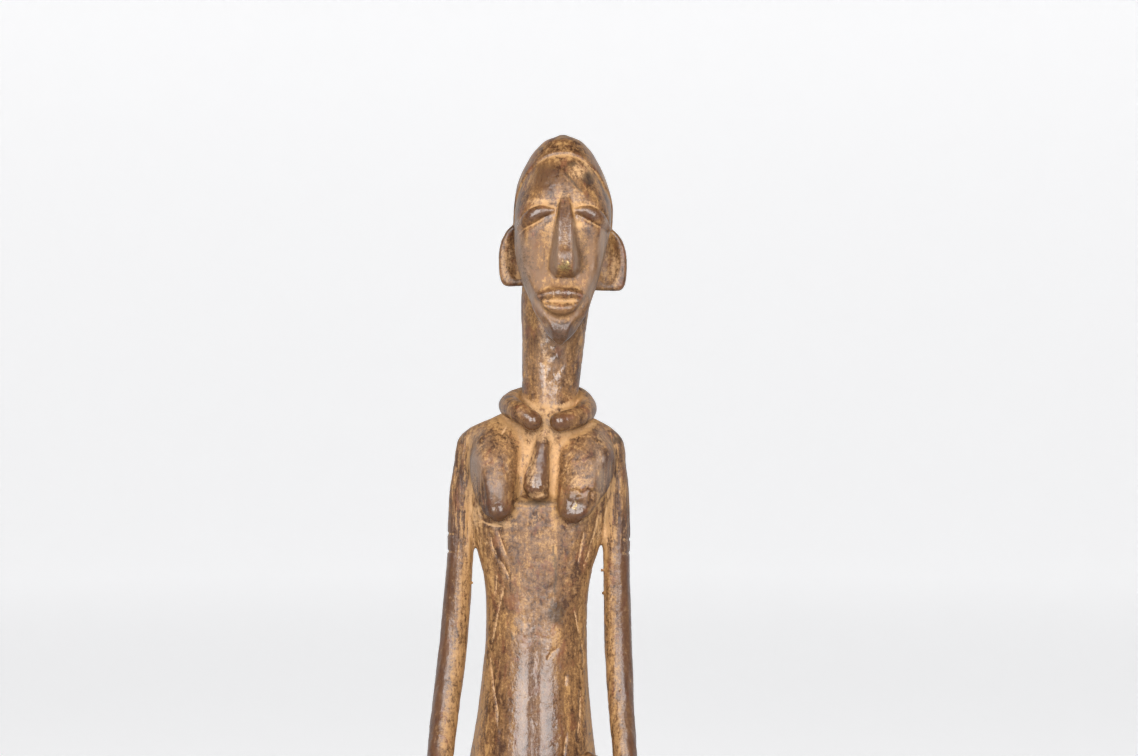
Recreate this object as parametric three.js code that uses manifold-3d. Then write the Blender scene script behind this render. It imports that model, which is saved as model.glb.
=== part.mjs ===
// A cast copper-alloy figure of a seated mother with a small child on her left thigh.
// She sits on a round waisted stool that is cast in one with her and with the low oval base.
// Millimetres, +Z up, she faces -Y, and her own left is +X. The origin is the underside's centre.
import * as THREE from "three";
import { mergeVertices } from "three/addons/utils/BufferGeometryUtils.js";
import Module from "manifold-3d";

const wasm = await Module();
wasm.setup();

// Driving dimensions
const BASE = { halfWidth: 60, halfDepth: 68, height: 8, edge: 1.8 };
const SEAT = { y: 22, radius: 40, top: 84 };
const LAP = 97; // the height of her thighs' axis
const KNEE_Y = -40;
const HEAD = { chin: 375, crown: 477.5, x: 17, power: 2.3 }; // the body leans to its own left
const CHILD = { x: 28.6, y: -21.5, seat: 109, neck: 139, crown: 177 };

// How finely the solid is faceted
const BODY_SIDES = 18;
const LEG_SIDES = 10;
const LIMB_SIDES = 8;
const SMALL_SIDES = 6;
const FINGER_SIDES = 5;

const v = (x, y, z) => new THREE.Vector3(x, y, z);
const count = (number, make) => Array.from({ length: number }, (_, i) => make(i));
const bothSides = (make) => [make(-1), make(1)].flat();

// Sections and the forms lofted through them

// An oval section: half widths to the right, to the front and to the back of its centre.
const section = (centre, right, front, back = front.clone().negate()) => ({
  centre,
  right,
  front,
  back,
});

const closing = ({ centre }) => section(centre, v(0, 0, 0), v(0, 0, 0));

// Rows of [position, value, ...] with rising positions become a smooth function of the position.
function smooth(rows) {
  const positions = rows.map((row) => row[0]);
  const values = rows.flatMap((row) => row.slice(1));
  const track = new THREE.CubicInterpolant(positions, values, rows[0].length - 1);
  return (position) => [...track.evaluate(position)];
}

// A closed form through sections, with flat ends. The rows of a sphere are moved onto them.
function loft(rings, sides, power = 2) {
  const sections = [closing(rings[0]), ...rings, closing(rings.at(-1))];
  const form = new THREE.SphereGeometry(1, sides, sections.length - 1);
  const place = form.attributes.position;
  const squared = (value) => Math.sign(value) * Math.abs(value) ** (2 / power);
  sections.forEach(({ centre, right, front, back }, row) => {
    for (let side = 0; side <= sides; side++) {
      const turn = ((side % sides) / sides) * 2 * Math.PI;
      const across = squared(Math.cos(turn));
      const along = squared(Math.sin(turn));
      const spot = centre
        .clone()
        .addScaledVector(right, across)
        .addScaledVector(along > 0 ? front : back, Math.abs(along));
      place.setXYZ(row * (sides + 1) + side, spot.x, spot.y, spot.z);
    }
  });
  return form;
}

// An upright form from rows of [height, centre x, centre y, half width, front, back].
function column(rows, sides = BODY_SIDES, power = 2) {
  const rings = rows.map(([z, x, y, halfWidth, front, back]) =>
    section(v(x, y, z), v(halfWidth, 0, 0), v(0, -front, 0), v(0, back, 0)),
  );
  return loft(rings, sides, power);
}

// A limb with blunt ends along points of [x, y, z, radius]. across is its width's direction, and
// flat is its thickness as a share of its width.
function limb(points, { steps = 1, sides = LIMB_SIDES, flat = 1, across = v(1, 0, 0) } = {}) {
  const last = points.length - 1;
  const at = smooth(points.map((point, i) => [i, ...point]));
  const spot = (i) => v(...at(i).slice(0, 3));
  const nudge = 0.01;
  const ring = (i, push, shrink) => {
    const ahead = spot(Math.min(i + nudge, last));
    const along = ahead.sub(spot(Math.max(i - nudge, 0))).normalize();
    const right = across.clone().addScaledVector(along, -across.dot(along)).normalize();
    const front = new THREE.Vector3().crossVectors(right, along);
    const radius = at(i)[3];
    return section(
      spot(i).addScaledVector(along, push * radius),
      right.multiplyScalar(radius * shrink),
      front.multiplyScalar(radius * shrink * flat),
    );
  };
  const blunt = { push: 0.65, shrink: 0.7 };
  const shaft = count(steps * last + 1, (i) => ring(i / steps, 0, 1));
  return loft([ring(0, -blunt.push, blunt.shrink), ...shaft, ring(last, blunt.push, blunt.shrink)], sides);
}

// Joining and cutting

function solid(geometry) {
  const bare = geometry.clone();
  bare.deleteAttribute("normal");
  bare.deleteAttribute("uv");
  const merged = mergeVertices(bare, 1e-4);
  const made = new wasm.Manifold(
    new wasm.Mesh({
      numProp: 3,
      vertProperties: merged.attributes.position.array,
      triVerts: new Uint32Array(merged.index.array),
    }),
  );
  if (made.volume() <= 0) throw new Error("a form is inside out or empty");
  return made;
}

const joined = (forms) => forms.map(solid).reduce((whole, form) => whole.add(form));

// Stool and base

function base() {
  const { halfWidth, halfDepth, height, edge } = BASE;
  const outline = new THREE.Shape().absellipse(0, 0, halfWidth - edge, halfDepth - edge, 0, 2 * Math.PI);
  return new THREE.ExtrudeGeometry(outline, {
    depth: height - 2 * edge,
    bevelThickness: edge,
    bevelSize: edge,
    bevelSegments: 1,
    curveSegments: 14,
  }).translate(0, 0, edge);
}

// The foot flares down into the base, and the seat is a thick round plate.
function stool() {
  const { radius, top, y } = SEAT;
  const profile = [
    [0, BASE.height - 2],
    [27, BASE.height - 2],
    [26, BASE.height + 3],
    [18.5, 19],
    [14.5, 36],
    [17, 54],
    [25, 65],
    [radius - 1.5, 72.5],
    [radius, 75],
    [radius, top - 2.5],
    [radius - 2, top],
    [0, top],
  ].map(([r, z]) => new THREE.Vector2(r, z));
  return new THREE.LatheGeometry(profile, 22).rotateX(Math.PI / 2).translate(0, y, 0);
}

// The body: height, centre x, centre y, half width, front, back

const TORSO = [
  [78, 0, 25, 33, 22, 24],
  [88, 0, 25, 40, 27, 30],
  [102, 0, 25, 42.5, 29.5, 31],
  [118, 0.4, 24.4, 40.6, 30.2, 28],
  [140, 0.9, 22.6, 36.2, 30.2, 23],
  [166, 1.4, 20.8, 32, 28, 19],
  [196, 2.2, 20, 27.8, 23, 17.2],
  [230, 3.1, 20, 25.3, 19, 16.5],
  [252, 3.4, 20, 25.9, 18, 17],
  [264, 3.6, 20.2, 28, 18, 17.5],
  [276, 4, 20.5, 31.6, 18, 18],
  [296, 4.6, 21, 36.6, 18, 19],
  [312, 5, 21.5, 40, 17, 18],
  [321, 5.3, 21.5, 42.2, 15, 16],
  [328, 5.2, 21.5, 40.6, 12.8, 13.8],
  [333, 5.3, 21.5, 35.5, 10.8, 11.8],
  [337.5, 6.5, 21, 26.5, 9, 10],
  [342, 8, 21, 15, 8, 9],
];

const NECK = [
  [330, 8.5, 21, 15, 14, 14],
  [346, 9.6, 20.5, 14, 13.5, 13.5],
  [362, 10.8, 20, 14.7, 13.5, 13],
  [378, 11.8, 19, 15.7, 14, 12.5],
  [397, 12.8, 18, 17.2, 14.5, 12.5],
  [417, 14.5, 17, 17, 12, 11],
];

// The breasts hang as long cones with blunt tips.
const BREASTS = [
  [
    [288.5, -15.4, -2, 3, 3, 3],
    [291, -15.5, -0.8, 6.2, 6.4, 5.6],
    [295, -15.9, 1.6, 8.6, 9, 7],
    [302, -16.8, 4.6, 11.4, 12, 9],
    [311, -17.3, 7, 12.6, 12.4, 10],
    [322, -16.8, 10, 12.2, 10.5, 10],
    [333, -13, 15, 8.4, 5.6, 6],
  ],
  [
    [287.5, 21.6, -2, 3.2, 3, 3],
    [290, 22, -0.8, 6.6, 6.4, 5.6],
    [294.5, 23.2, 1.6, 9.4, 9, 7],
    [302, 25.6, 4.6, 12.6, 12, 9],
    [311, 27.5, 7, 14.4, 12.4, 10],
    [322, 27.4, 10, 14, 10.5, 10],
    [333, 23.4, 15, 9.4, 5.6, 6],
  ],
];

// The chest between the breasts stands over the belly like a shelf, and a drop hangs on it.
const CHEST = [
  [296.5, 4, 12, 8.5, 9, 8],
  [299, 4, 12, 11.5, 11.2, 8],
  [312, 4.5, 12.6, 13, 11, 8],
  [334, 6.5, 16, 12, 7, 8],
];

const DROP = [
  [300, 4.2, -1, 2.6, 4.6, 6],
  [303, 4.2, -1, 5, 6.6, 6],
  [307, 4.5, -0.4, 5, 6.2, 6],
  [315, 5.6, 0.8, 3.8, 4.8, 6],
  [327, 7, 3, 2, 2.8, 6],
];

// An open neck ring, low in front, where its blunt ends meet.
function neckRing() {
  const ring = { x: 9.2, y: 19.5, halfWidth: 19, halfDepth: 17.5, height: 344, dip: 9, lean: 1.6 };
  const half = { gap: 0.25, side: 5.6, end: 5.1 }; // radians of half the opening, then two radii
  const stretches = 15;
  const points = count(stretches + 1, (i) => {
    const turn = half.gap + ((2 * Math.PI - 2 * half.gap) * i) / stretches; // 0 looks to the front
    return [
      ring.x + ring.halfWidth * Math.sin(turn),
      ring.y - ring.halfDepth * Math.cos(turn),
      ring.height - ring.dip * Math.cos(turn) - ring.lean * Math.sin(turn),
      (half.side + half.end) / 2 - ((half.side - half.end) / 2) * Math.cos(turn),
    ];
  });
  return limb(points, { sides: 7, across: v(0, 0, 1) });
}

// Thin arms hang straight from the shoulders and bend forward below the waist.
const ARMS = [
  [
    [-29.8, 21.5, 318, 7.6],
    [-31.7, 21.5, 303, 8.4],
    [-33.8, 21.5, 287, 7.5],
    [-34.9, 21, 268, 6.7],
    [-36.4, 20.5, 247, 7],
    [-38.4, 18.5, 224, 7.1],
    [-41.2, 12, 199, 7],
    [-43.6, 1, 175, 6.7],
    [-43.8, -12, 152, 6.1],
    [-40.5, -24, 132, 5.4],
    [-36, -33, 119, 4.8],
  ],
  [
    [40, 21.5, 318, 7.6],
    [41.3, 21.5, 303, 8.2],
    [42.6, 21.5, 287, 7.4],
    [43.3, 21, 268, 6.8],
    [43.6, 20.5, 247, 7],
    [44.2, 18.5, 224, 7],
    [45.2, 12, 199, 6.6],
    [46.8, 2, 175, 6.1],
    [47.8, -8, 152, 5.8],
    [46.8, -14, 136, 5.2],
    [44.6, -18, 124, 4.8],
  ],
];

// A hand: its back, four fingers that curl over what they hold, and the thumb.
function hand({ wrist, palm, spread, reach, curl, thumb }) {
  const back = limb([wrist, wrist.clone().lerp(palm, 0.5), palm].map((at, i) => [...at, [4.4, 5.4, 5.2][i]]), {
    sides: SMALL_SIDES,
    flat: 0.55,
    across: spread.clone().normalize(),
  });
  const finger = (root, middle, tip) =>
    limb([[...root, 2], [...middle, 1.9], [...tip, 1.6]], { sides: FINGER_SIDES });
  const fingers = [-1.5, -0.5, 0.5, 1.5].map((place) => {
    const root = palm.clone().addScaledVector(spread, place);
    const middle = root.clone().addScaledVector(reach, 0.75);
    return finger(root, middle, root.clone().add(reach).add(curl));
  });
  const ball = palm.clone().lerp(wrist, 0.6);
  return [back, ...fingers, finger(ball, ball.clone().addScaledVector(thumb, 0.6), ball.clone().add(thumb))];
}

const rightHand = {
  wrist: v(-36, -33, 119),
  palm: v(-30, -41.5, 112),
  spread: v(3.1, 0.9, 0.4),
  reach: v(0.8, -8.5, -2.5),
  curl: v(0.3, -2, -6.5),
  thumb: v(8, -2, -1.5),
};

const leftHand = {
  wrist: v(44.6, -18, 124),
  palm: v(42.2, -25, 118),
  spread: v(0.4, -0.6, 2.9),
  reach: v(-1, -7.5, -1),
  curl: v(-6, -2.5, 0.5),
  thumb: v(-3.5, -4.5, 6.5),
};

// Legs, and the plain wrap that covers the thighs and ends in a hem above the knees

const LEG = { hip: 20, knee: 25.6, ankle: 25, thigh: [15, 13.4, 11] }; // places and radii

const thighPoints = (side, reach, grow) =>
  [0, 0.5, 1].map((share, i) => [
    side * THREE.MathUtils.lerp(LEG.hip, LEG.knee, share),
    THREE.MathUtils.lerp(20, reach, share),
    LAP + 2 * (1 - share),
    LEG.thigh[i] + grow,
  ]);

function leg(side) {
  const { knee, ankle } = LEG;
  const thigh = limb(thighPoints(side, KNEE_Y, 0), { sides: LEG_SIDES });
  const shin = limb(
    [
      [side * knee, KNEE_Y, LAP, 10.6],
      [side * knee, KNEE_Y - 1, 80, 9.2],
      [side * knee, KNEE_Y + 1, 62, 9],
      [side * ankle, KNEE_Y + 4, 42, 7.3],
      [side * ankle, KNEE_Y + 5, 24, 6.2],
      [side * ankle, KNEE_Y + 5, 14, 6.8],
    ],
    { sides: LEG_SIDES },
  );
  const sole = BASE.height;
  const foot = limb(
    [
      [side * ankle, KNEE_Y + 8.5, sole + 4.5, 6.2],
      [side * ankle, KNEE_Y, sole + 4.8, 6.6],
      [side * (ankle + 0.6), KNEE_Y - 8, sole + 3, 7.4],
    ],
    { flat: 0.72, sides: SMALL_SIDES },
  );
  const toes = [-2, -1, 0, 1, 2].map((place) => {
    const x = side * (ankle + 0.7) + place * 2.7;
    const inner = -side * place; // 2 at the big toe
    const tip = KNEE_Y - 15 - inner;
    const thick = 1.7 + 0.16 * inner;
    return limb([[x, KNEE_Y - 7, sole + 2.4, thick], [x + place * 0.2, tip, sole + 1.2, thick]], {
      sides: FINGER_SIDES,
    });
  });
  return [thigh, shin, foot, ...toes];
}

// The cloth is a sleeve round each thigh and a slack web between them.
function wrap() {
  const hem = { y: -22, thick: 1.3, webTop: 9.5, webBottom: 8 };
  const web = [18, -4, hem.y - 1.5].map((y, i) =>
    section(
      v(0, y, LAP + 1 - i * 1.2),
      v(LEG.hip + 2 * i, 0, 0),
      v(0, 0, -hem.webBottom),
      v(0, 0, hem.webTop),
    ),
  );
  const sleeves = bothSides((side) => [
    limb(thighPoints(side, hem.y, hem.thick), { sides: LEG_SIDES }),
  ]);
  return [loft(web, 8, 2.6), ...sleeves];
}

// The head, set out on simple shares of its height from the chin

const headHeight = (share) => THREE.MathUtils.lerp(HEAD.chin, HEAD.crown, share);

// Share of the height, centre x from the head's, half width, front y, back y
const HEAD_ROWS = [
  [0, -1.8, 1.6, -16, -12],
  [0.03, -1.7, 5.4, -19, -9],
  [0.1, -1.5, 10.2, -20, -3],
  [0.2, -1.1, 15, -19.6, 7],
  [0.3, -0.8, 18.7, -18.4, 19],
  [0.42, -0.4, 22, -17.6, 31],
  [0.56, 0, 23.8, -18.2, 39.5],
  [0.67, 0, 23.7, -18.4, 41.8],
  [0.78, 0, 21.4, -15.4, 40.8],
  [0.87, -0.2, 17.2, -10, 37],
  [0.94, -0.4, 12, -3.4, 31],
  [0.98, -0.5, 6.8, 3.2, 24],
  [1, -0.6, 1.4, 11, 16],
];

function headForm(grow = 0) {
  const rows = HEAD_ROWS.map(([share, x, halfWidth, front, back]) => {
    const middle = THREE.MathUtils.lerp(front, back, 0.55);
    const z = headHeight(share) + grow * (2 * share - 1);
    return [z, HEAD.x + x, middle, halfWidth + grow, middle - front + grow, back - middle + grow];
  });
  return column(rows, BODY_SIDES, HEAD.power);
}

// The close cap of hair is the head, a little larger, behind a plane that slants down to the nape.
function hair() {
  const hairline = { y: -8.5, share: 0.913, fall: 59.5, thick: 1 };
  const far = 400;
  const ahead = new THREE.BoxGeometry(far, far, far)
    .translate(0, 0, -far / 2)
    .rotateX(-THREE.MathUtils.degToRad(hairline.fall))
    .translate(HEAD.x, hairline.y, headHeight(hairline.share));
  return solid(headForm(hairline.thick)).subtract(solid(ahead));
}

// Half-round ears stand out like shells, hollowed in front.
function ear(side) {
  const [root, rim, top, bottom, y] = [17, 31.6, 434.4, 402.4, 12];
  const outline = new THREE.Shape();
  outline.moveTo(root, top - 1);
  outline.bezierCurveTo(rim - 7, top - 1, rim, top - 9, rim, (top + bottom) / 2 - 3);
  outline.bezierCurveTo(rim, bottom + 2, rim - 2.5, bottom, rim - 7, bottom);
  outline.lineTo(root, bottom + 1);
  const edge = 1;
  const plate = new THREE.ExtrudeGeometry(outline, {
    depth: 3.6,
    bevelThickness: edge,
    bevelSize: edge,
    bevelOffset: -edge / 2,
    bevelSegments: 1,
    curveSegments: 5,
  });
  plate.rotateX(Math.PI / 2).translate(0, y + 3.6, 0);
  const hollow = new THREE.SphereGeometry(1, 8, 6).scale(4.6, 3, 11.5).translate(rim - 7.6, y - 1.6, 417.5);
  const shell = solid(plate).subtract(solid(hollow));
  const placed = side > 0 ? shell : shell.mirror([1, 0, 0]);
  return placed.translate(HEAD.x - 0.6, 0, -1.2 * side);
}

// A long straight nose: a narrow flat ridge with sides that flare down to the face.
function nose() {
  // Share of the head's height, half width of the ridge, half width at the face, how far it stands
  const rows = [
    [0.315, 2.4, 5.6, 4.5],
    [0.345, 3.5, 7.7, 9.5],
    [0.385, 3.4, 7.5, 10.5],
    [0.47, 3.1, 6.2, 8],
    [0.61, 2.7, 4, 3.8],
    [0.69, 1.8, 2.8, 0.6],
  ];
  const faceY = -17.8;
  const rootY = -13;
  const form = new THREE.BoxGeometry(2, 2, 1, 1, 1, rows.length - 1);
  const place = form.attributes.position;
  for (let i = 0; i < place.count; i++) {
    const row = Math.round((place.getZ(i) + 0.5) * (rows.length - 1));
    const [share, ridge, flare, stand] = rows[row];
    const inFront = place.getY(i) < 0;
    const x = HEAD.x + 0.6 + place.getX(i) * (inFront ? ridge : flare);
    place.setXYZ(i, x, inFront ? faceY - stand : rootY, headHeight(share));
  }
  return form;
}

// Heavy closed lids that droop outwards round the sides of the face.
function eyelid(side) {
  const points = [
    [5.6, -17.4, 0.624, 1.4],
    [11.5, -15.8, 0.618, 3.4],
    [17.5, -10.8, 0.591, 3.4],
    [21, -5.6, 0.553, 1.8],
  ];
  return limb(
    points.map(([out, y, share, radius]) => [HEAD.x + side * out, y, headHeight(share), radius]),
    { sides: SMALL_SIDES, flat: 0.65, across: v(0, 0, 1) },
  );
}

function lip({ share, halfWidth, thick, bow }) {
  const curve = (place) => [
    HEAD.x - 1.1 + place * halfWidth,
    -20.4 + 2.6 * place * place,
    headHeight(share) + bow * place * place,
    thick * (1 - 0.5 * place * place),
  ];
  return limb([-1, -0.5, 0, 0.5, 1].map(curve), { sides: SMALL_SIDES, across: v(0, 0, 1) });
}

// The child, a small plain echo of its mother, astride her thigh

function child() {
  const { x, y, seat, neck, crown } = CHILD;
  const trunk = column(
    [
      [seat - 4, x, y, 8, 7, 7],
      [seat + 4, x, y, 8.8, 7.6, 7.4],
      [seat + 13, x, y, 7.6, 7.4, 6.4],
      [seat + 23, x, y, 9.4, 6.2, 6],
      [seat + 27.5, x, y, 8.2, 4.8, 5],
      [seat + 31, x, y, 4.8, 4, 4],
      [seat + 39, x, y + 0.5, 5.4, 5, 6],
    ],
    10,
  );
  const skull = column(
    [
      [0, 1.2, -8, -6],
      [0.1, 4.6, -9.8, -2],
      [0.28, 8.6, -10.6, 6],
      [0.5, 11.2, -10.6, 13],
      [0.66, 11.4, -9.6, 14],
      [0.84, 8.8, -6.4, 12],
      [0.95, 4.8, -1.6, 8],
      [1, 1, 2.6, 4],
    ].map(([share, halfWidth, front, back]) => {
      const middle = (front + back) / 2;
      const z = THREE.MathUtils.lerp(neck, crown, share);
      return [z, x, y + middle, halfWidth, middle - front, back - middle];
    }),
    12,
    HEAD.power,
  );
  const noseAndLips = [
    [[x, y - 10, neck + 24, 1.1], [x, y - 12.4, neck + 13.5, 2.2]],
    [[x - 2.4, y - 10.4, neck + 8.6, 1.5], [x + 2.4, y - 10.4, neck + 8.6, 1.5]],
  ].map((points) => limb(points, { sides: FINGER_SIDES, across: v(0.1, 1, 0.1).normalize() }));
  const pairs = bothSides((side) => {
    const lobe = limb(
      [[x + side * 11.2, y + 3.4, neck + 22, 1.8], [x + side * 11.2, y + 3.4, neck + 13, 2]],
      { sides: FINGER_SIDES },
    );
    const arm = limb(
      [
        [x + side * 8.8, y, seat + 24.5, 3.4],
        [x + side * 11.4, y - 0.5, seat + 16, 3],
        [x + side * 11.6, y - 6, seat + 9, 2.7],
        [x + side * 10.8, y - 14, seat + 6, 2.6],
      ],
      { sides: SMALL_SIDES },
    );
    const legAndFoot = limb(
      [
        [x + side * 5, y + 1, seat + 2, 5],
        [x + side * 10.4, y - 11, seat + 2, 4.3],
        [x + side * 13.4, y - 18.5, seat - 2, 3.9],
        [x + side * 14.2, y - 19, seat - 12, 3.2],
        [x + side * 14.2, y - 20, seat - 20, 2.8],
        [x + side * 14.4, y - 25, seat - 23, 2.7],
      ],
      { sides: SMALL_SIDES },
    );
    return [lobe, arm, legAndFoot];
  });
  return [trunk, skull, ...noseAndLips, ...pairs];
}

// One casting

const navel = new THREE.SphereGeometry(3, 6, 4).translate(1.1, -8.4, 147);
const upperLip = { share: 0.228, halfWidth: 8.6, thick: 2.2, bow: -0.8 };
const lowerLip = { share: 0.16, halfWidth: 7, thick: 2.2, bow: 1.4 };

const cast = joined([
  base(),
  stool(),
  column(TORSO, BODY_SIDES, 2.3),
  column(NECK, 14),
  ...BREASTS.map((rows) => column(rows, 11)),
  column(CHEST, 10),
  column(DROP, 7),
  neckRing(),
  ...ARMS.map((points) => limb(points)),
  ...hand(rightHand),
  ...hand(leftHand),
  ...bothSides(leg),
  ...wrap(),
  navel,
  headForm(),
  nose(),
  ...bothSides(eyelid),
  lip(upperLip),
  lip(lowerLip),
  ...child(),
]);
const figureSolid = [hair(), ...bothSides(ear)].reduce((whole, form) => whole.add(form), cast);

function geometryOf(form) {
  const { vertProperties, triVerts } = form.getMesh();
  const geometry = new THREE.BufferGeometry();
  geometry.setAttribute("position", new THREE.BufferAttribute(vertProperties, 3));
  geometry.setIndex(new THREE.BufferAttribute(triVerts, 1));
  geometry.computeVertexNormals();
  return geometry;
}

const bronze = new THREE.MeshStandardMaterial({ color: 0x8a6348, roughness: 0.45, metalness: 0.6 });
const figure = new THREE.Mesh(geometryOf(figureSolid), bronze);
figure.name = "maternity_figure";

const group = new THREE.Group();
group.add(figure);
export default group;
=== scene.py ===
# %% [markdown]
# # A cast mother and child
#
# The real figure is a lost-wax casting. A founder models it in beeswax, with rolled limbs, pinched
# ears and pressed-on lids, packs it in clay, melts the wax out and pours copper alloy in its place.
# The lesson keeps that order. The forms are pressed together into one wax, the wax is cut and
# scratched, and then the skin gets its metal, its patina and the earth that sits in the hollows.

# %% Load the measured frame
import math

import bpy
import numpy as np
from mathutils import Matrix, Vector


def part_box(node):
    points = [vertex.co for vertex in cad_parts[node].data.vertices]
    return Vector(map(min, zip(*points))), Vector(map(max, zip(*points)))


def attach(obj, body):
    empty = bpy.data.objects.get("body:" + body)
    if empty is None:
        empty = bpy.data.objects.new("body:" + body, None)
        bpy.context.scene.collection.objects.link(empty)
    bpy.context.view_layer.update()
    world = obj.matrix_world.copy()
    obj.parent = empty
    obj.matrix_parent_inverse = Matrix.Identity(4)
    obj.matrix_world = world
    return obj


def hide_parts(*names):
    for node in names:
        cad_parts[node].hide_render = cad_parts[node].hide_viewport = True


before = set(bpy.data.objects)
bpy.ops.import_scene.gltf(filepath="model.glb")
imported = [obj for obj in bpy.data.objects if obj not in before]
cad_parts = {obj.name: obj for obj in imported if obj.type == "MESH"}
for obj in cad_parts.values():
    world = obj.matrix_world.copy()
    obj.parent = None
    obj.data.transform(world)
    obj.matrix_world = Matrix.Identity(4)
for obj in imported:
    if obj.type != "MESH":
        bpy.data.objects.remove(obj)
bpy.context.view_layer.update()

import openvdb

low, high = (np.array(corner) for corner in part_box("maternity_figure"))
print("the solid measures", np.round(high - low, 4), "m")

# %% [markdown]
# ## Millimetres
#
# A figure this small is easiest to think of in millimetres. Every size below is drawn for a figure
# 478.5 mm tall and then scaled by the height of the measured solid, so the two always agree.
# The origin is the middle of the underside, +Z is up, she faces -Y and her own left is +X.

# %% Work out the unit
DRAWN_HEIGHT = 478.5
mm = (high[2] - low[2]) / DRAWN_HEIGHT
foot = np.array([(low[0] + high[0]) / 2, (low[1] + high[1]) / 2, low[2]])
print("one drawn millimetre is", round(mm * 1000, 4), "mm")

# %% [markdown]
# ## Forms
#
# A rolled limb, a trunk or a stool is a row of ovals with a skin over them. Few ovals are drawn,
# and a smooth curve through their sizes gives the many that the skin needs. A mesh like this
# could be shown as it is, but then every joint would be a hard line, so it is only a mould here.


# %% A smooth curve through rows, and a skin over rings
def smooth(rows, places):
    """Rows of (position, value, ...) as a smooth curve, read at each of the places."""
    rows = np.asarray(rows, float)
    at, values = rows[:, 0], rows[:, 1:]
    slope = np.gradient(values, at, axis=0)
    i = np.clip(np.searchsorted(at, places, side="right") - 1, 0, len(at) - 2)
    step = (at[i + 1] - at[i])[:, None]
    t = (np.asarray(places) - at[i])[:, None] / step
    rise = t * t * (3 - 2 * t)
    lean_in = t * (1 - t) ** 2 * step * slope[i]
    lean_out = t * t * (t - 1) * step * slope[i + 1]
    return values[i] * (1 - rise) + values[i + 1] * rise + lean_in + lean_out


def skin(rings):
    """A closed form over rings of points, with a fan over each end."""
    rings = np.asarray(rings, float)
    count, sides = rings.shape[:2]
    ring, side = np.meshgrid(np.arange(count - 1) * sides, np.arange(sides), indexing="ij")
    after = (side + 1) % sides
    walls = np.stack([ring + side, ring + after, ring + sides + after, ring + sides + side], -1)
    fans = [
        np.stack([start + side[0], start + after[0], np.full(sides, tip)], 1)
        for start, tip in ((0, count * sides), ((count - 1) * sides, count * sides + 1))
    ]
    points = np.vstack([rings.reshape(-1, 3), rings[0].mean(0), rings[-1].mean(0)])
    return points, walls.reshape(-1, 4), np.vstack(fans)


BACK_POWER = 2.3


def ovals(centre, right, front, back, power=2.0, sides=56):
    """Rings round the centres. A power over 2 makes the fronts squarer: one for all, or one a ring.

    The backs take the smallest of the powers, and BACK_POWER at most."""
    turn = np.arange(sides) / sides * 2 * math.pi
    front_power = np.broadcast_to(power, len(centre))[:, None]
    squarer = np.where(np.sin(turn) > 0, front_power, min(BACK_POWER, np.min(power)))
    across = (np.sign(np.cos(turn)) * np.abs(np.cos(turn)) ** (2 / squarer))[..., None]
    along = (np.sign(np.sin(turn)) * np.abs(np.sin(turn)) ** (2 / squarer))[..., None]
    ahead, behind = np.maximum(along, 0), np.maximum(-along, 0)
    level = centre[:, None] + right[:, None] * across
    return level + front[:, None] * ahead + back[:, None] * behind


halfway = smooth([(0, 0), (1, 1), (2, 0)], [0.5])[0, 0]
print("a smooth curve through 0, 1, 0 passes", halfway.round(3))

# %% [markdown]
# ## Two ways to place the ovals
#
# Trunks, heads and stools are columns of level ovals. Arms, legs and rings of metal are limbs whose
# ovals stand square to a curved line. Both get round ends, because wax has no sharp ones.

# %% Columns and limbs
X, Y, Z = np.eye(3)


def domed(rings, first, last):
    """The rings with a dome on both ends, which reach by the vectors first and last."""

    def dome(end, reach):
        middle = end.mean(0)
        for turn in map(math.radians, (18, 38, 58, 78)):
            yield middle + (end - middle) * math.cos(turn) + reach * math.sin(turn)

    return np.stack([*list(dome(rings[0], first))[::-1], *rings, *dome(rings[-1], last)])


def between(rows, steps=8):
    """Places along the rows, so many steps from each to the next."""
    return np.linspace(0, len(rows) - 1, steps * (len(rows) - 1) + 1)


def column(rows, power=2.0, dome=(0.6, 0.6)):
    """A form from rows of (height, centre x, centre y, half width, front, back).

    The power may be a function of the height."""
    rows = np.asarray(rows, float)
    heights = np.interp(between(rows), np.arange(len(rows)), rows[:, 0])
    x, y, wide, front, back = smooth(rows, heights).T[:, :, None]
    power = power(heights) if callable(power) else power
    rings = ovals(x * X + y * Y + heights[:, None] * Z, wide * X, -front * Y, back * Y, power)
    return skin(domed(rings, -dome[0] * Z, dome[1] * Z))


def limb(points, steps=8, flat=1.0, across=X, sides=32):
    """A round-ended form along points of (x, y, z, radius). flat thins it, square to across."""
    track = smooth([(i, *point) for i, point in enumerate(points)], between(points, steps))
    centre, radius = track[:, :3], track[:, 3:]
    along = np.gradient(centre, axis=0)
    along /= np.linalg.norm(along, axis=1, keepdims=True)
    right = across - (along @ across)[:, None] * along
    right /= np.linalg.norm(right, axis=1, keepdims=True)
    front = np.cross(right, along) * radius * flat
    rings = ovals(centre, right * radius, front, -front, sides=sides)
    return skin(domed(rings, -along[0] * radius[0], along[-1] * radius[-1]))


def hoop(x, y, level, radius, thick, turns):
    """Points for a limb that runs round a level circle. A turn of 0 is in front."""
    return [
        (x + radius * math.sin(turn), y - radius * math.cos(turn), level, thick) for turn in turns
    ]


def egg(centre, halves, turn=0.0):
    """An egg with half sizes (x, y, z), turned about Z by so many degrees."""
    up = np.radians(np.linspace(-84, 84, 17))[:, None]
    middle = np.array(centre) + np.sin(up) * halves[2] * Z
    side = math.radians(turn)
    right = np.cos(up) * halves[0] * np.array([math.cos(side), math.sin(side), 0])
    back = np.cos(up) * halves[1] * np.array([-math.sin(side), math.cos(side), 0])
    return skin(ovals(middle, right, -back, back, sides=32))


print("an egg has", len(egg((0, 0, 0), (1, 1, 1))[0]), "points")

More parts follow.
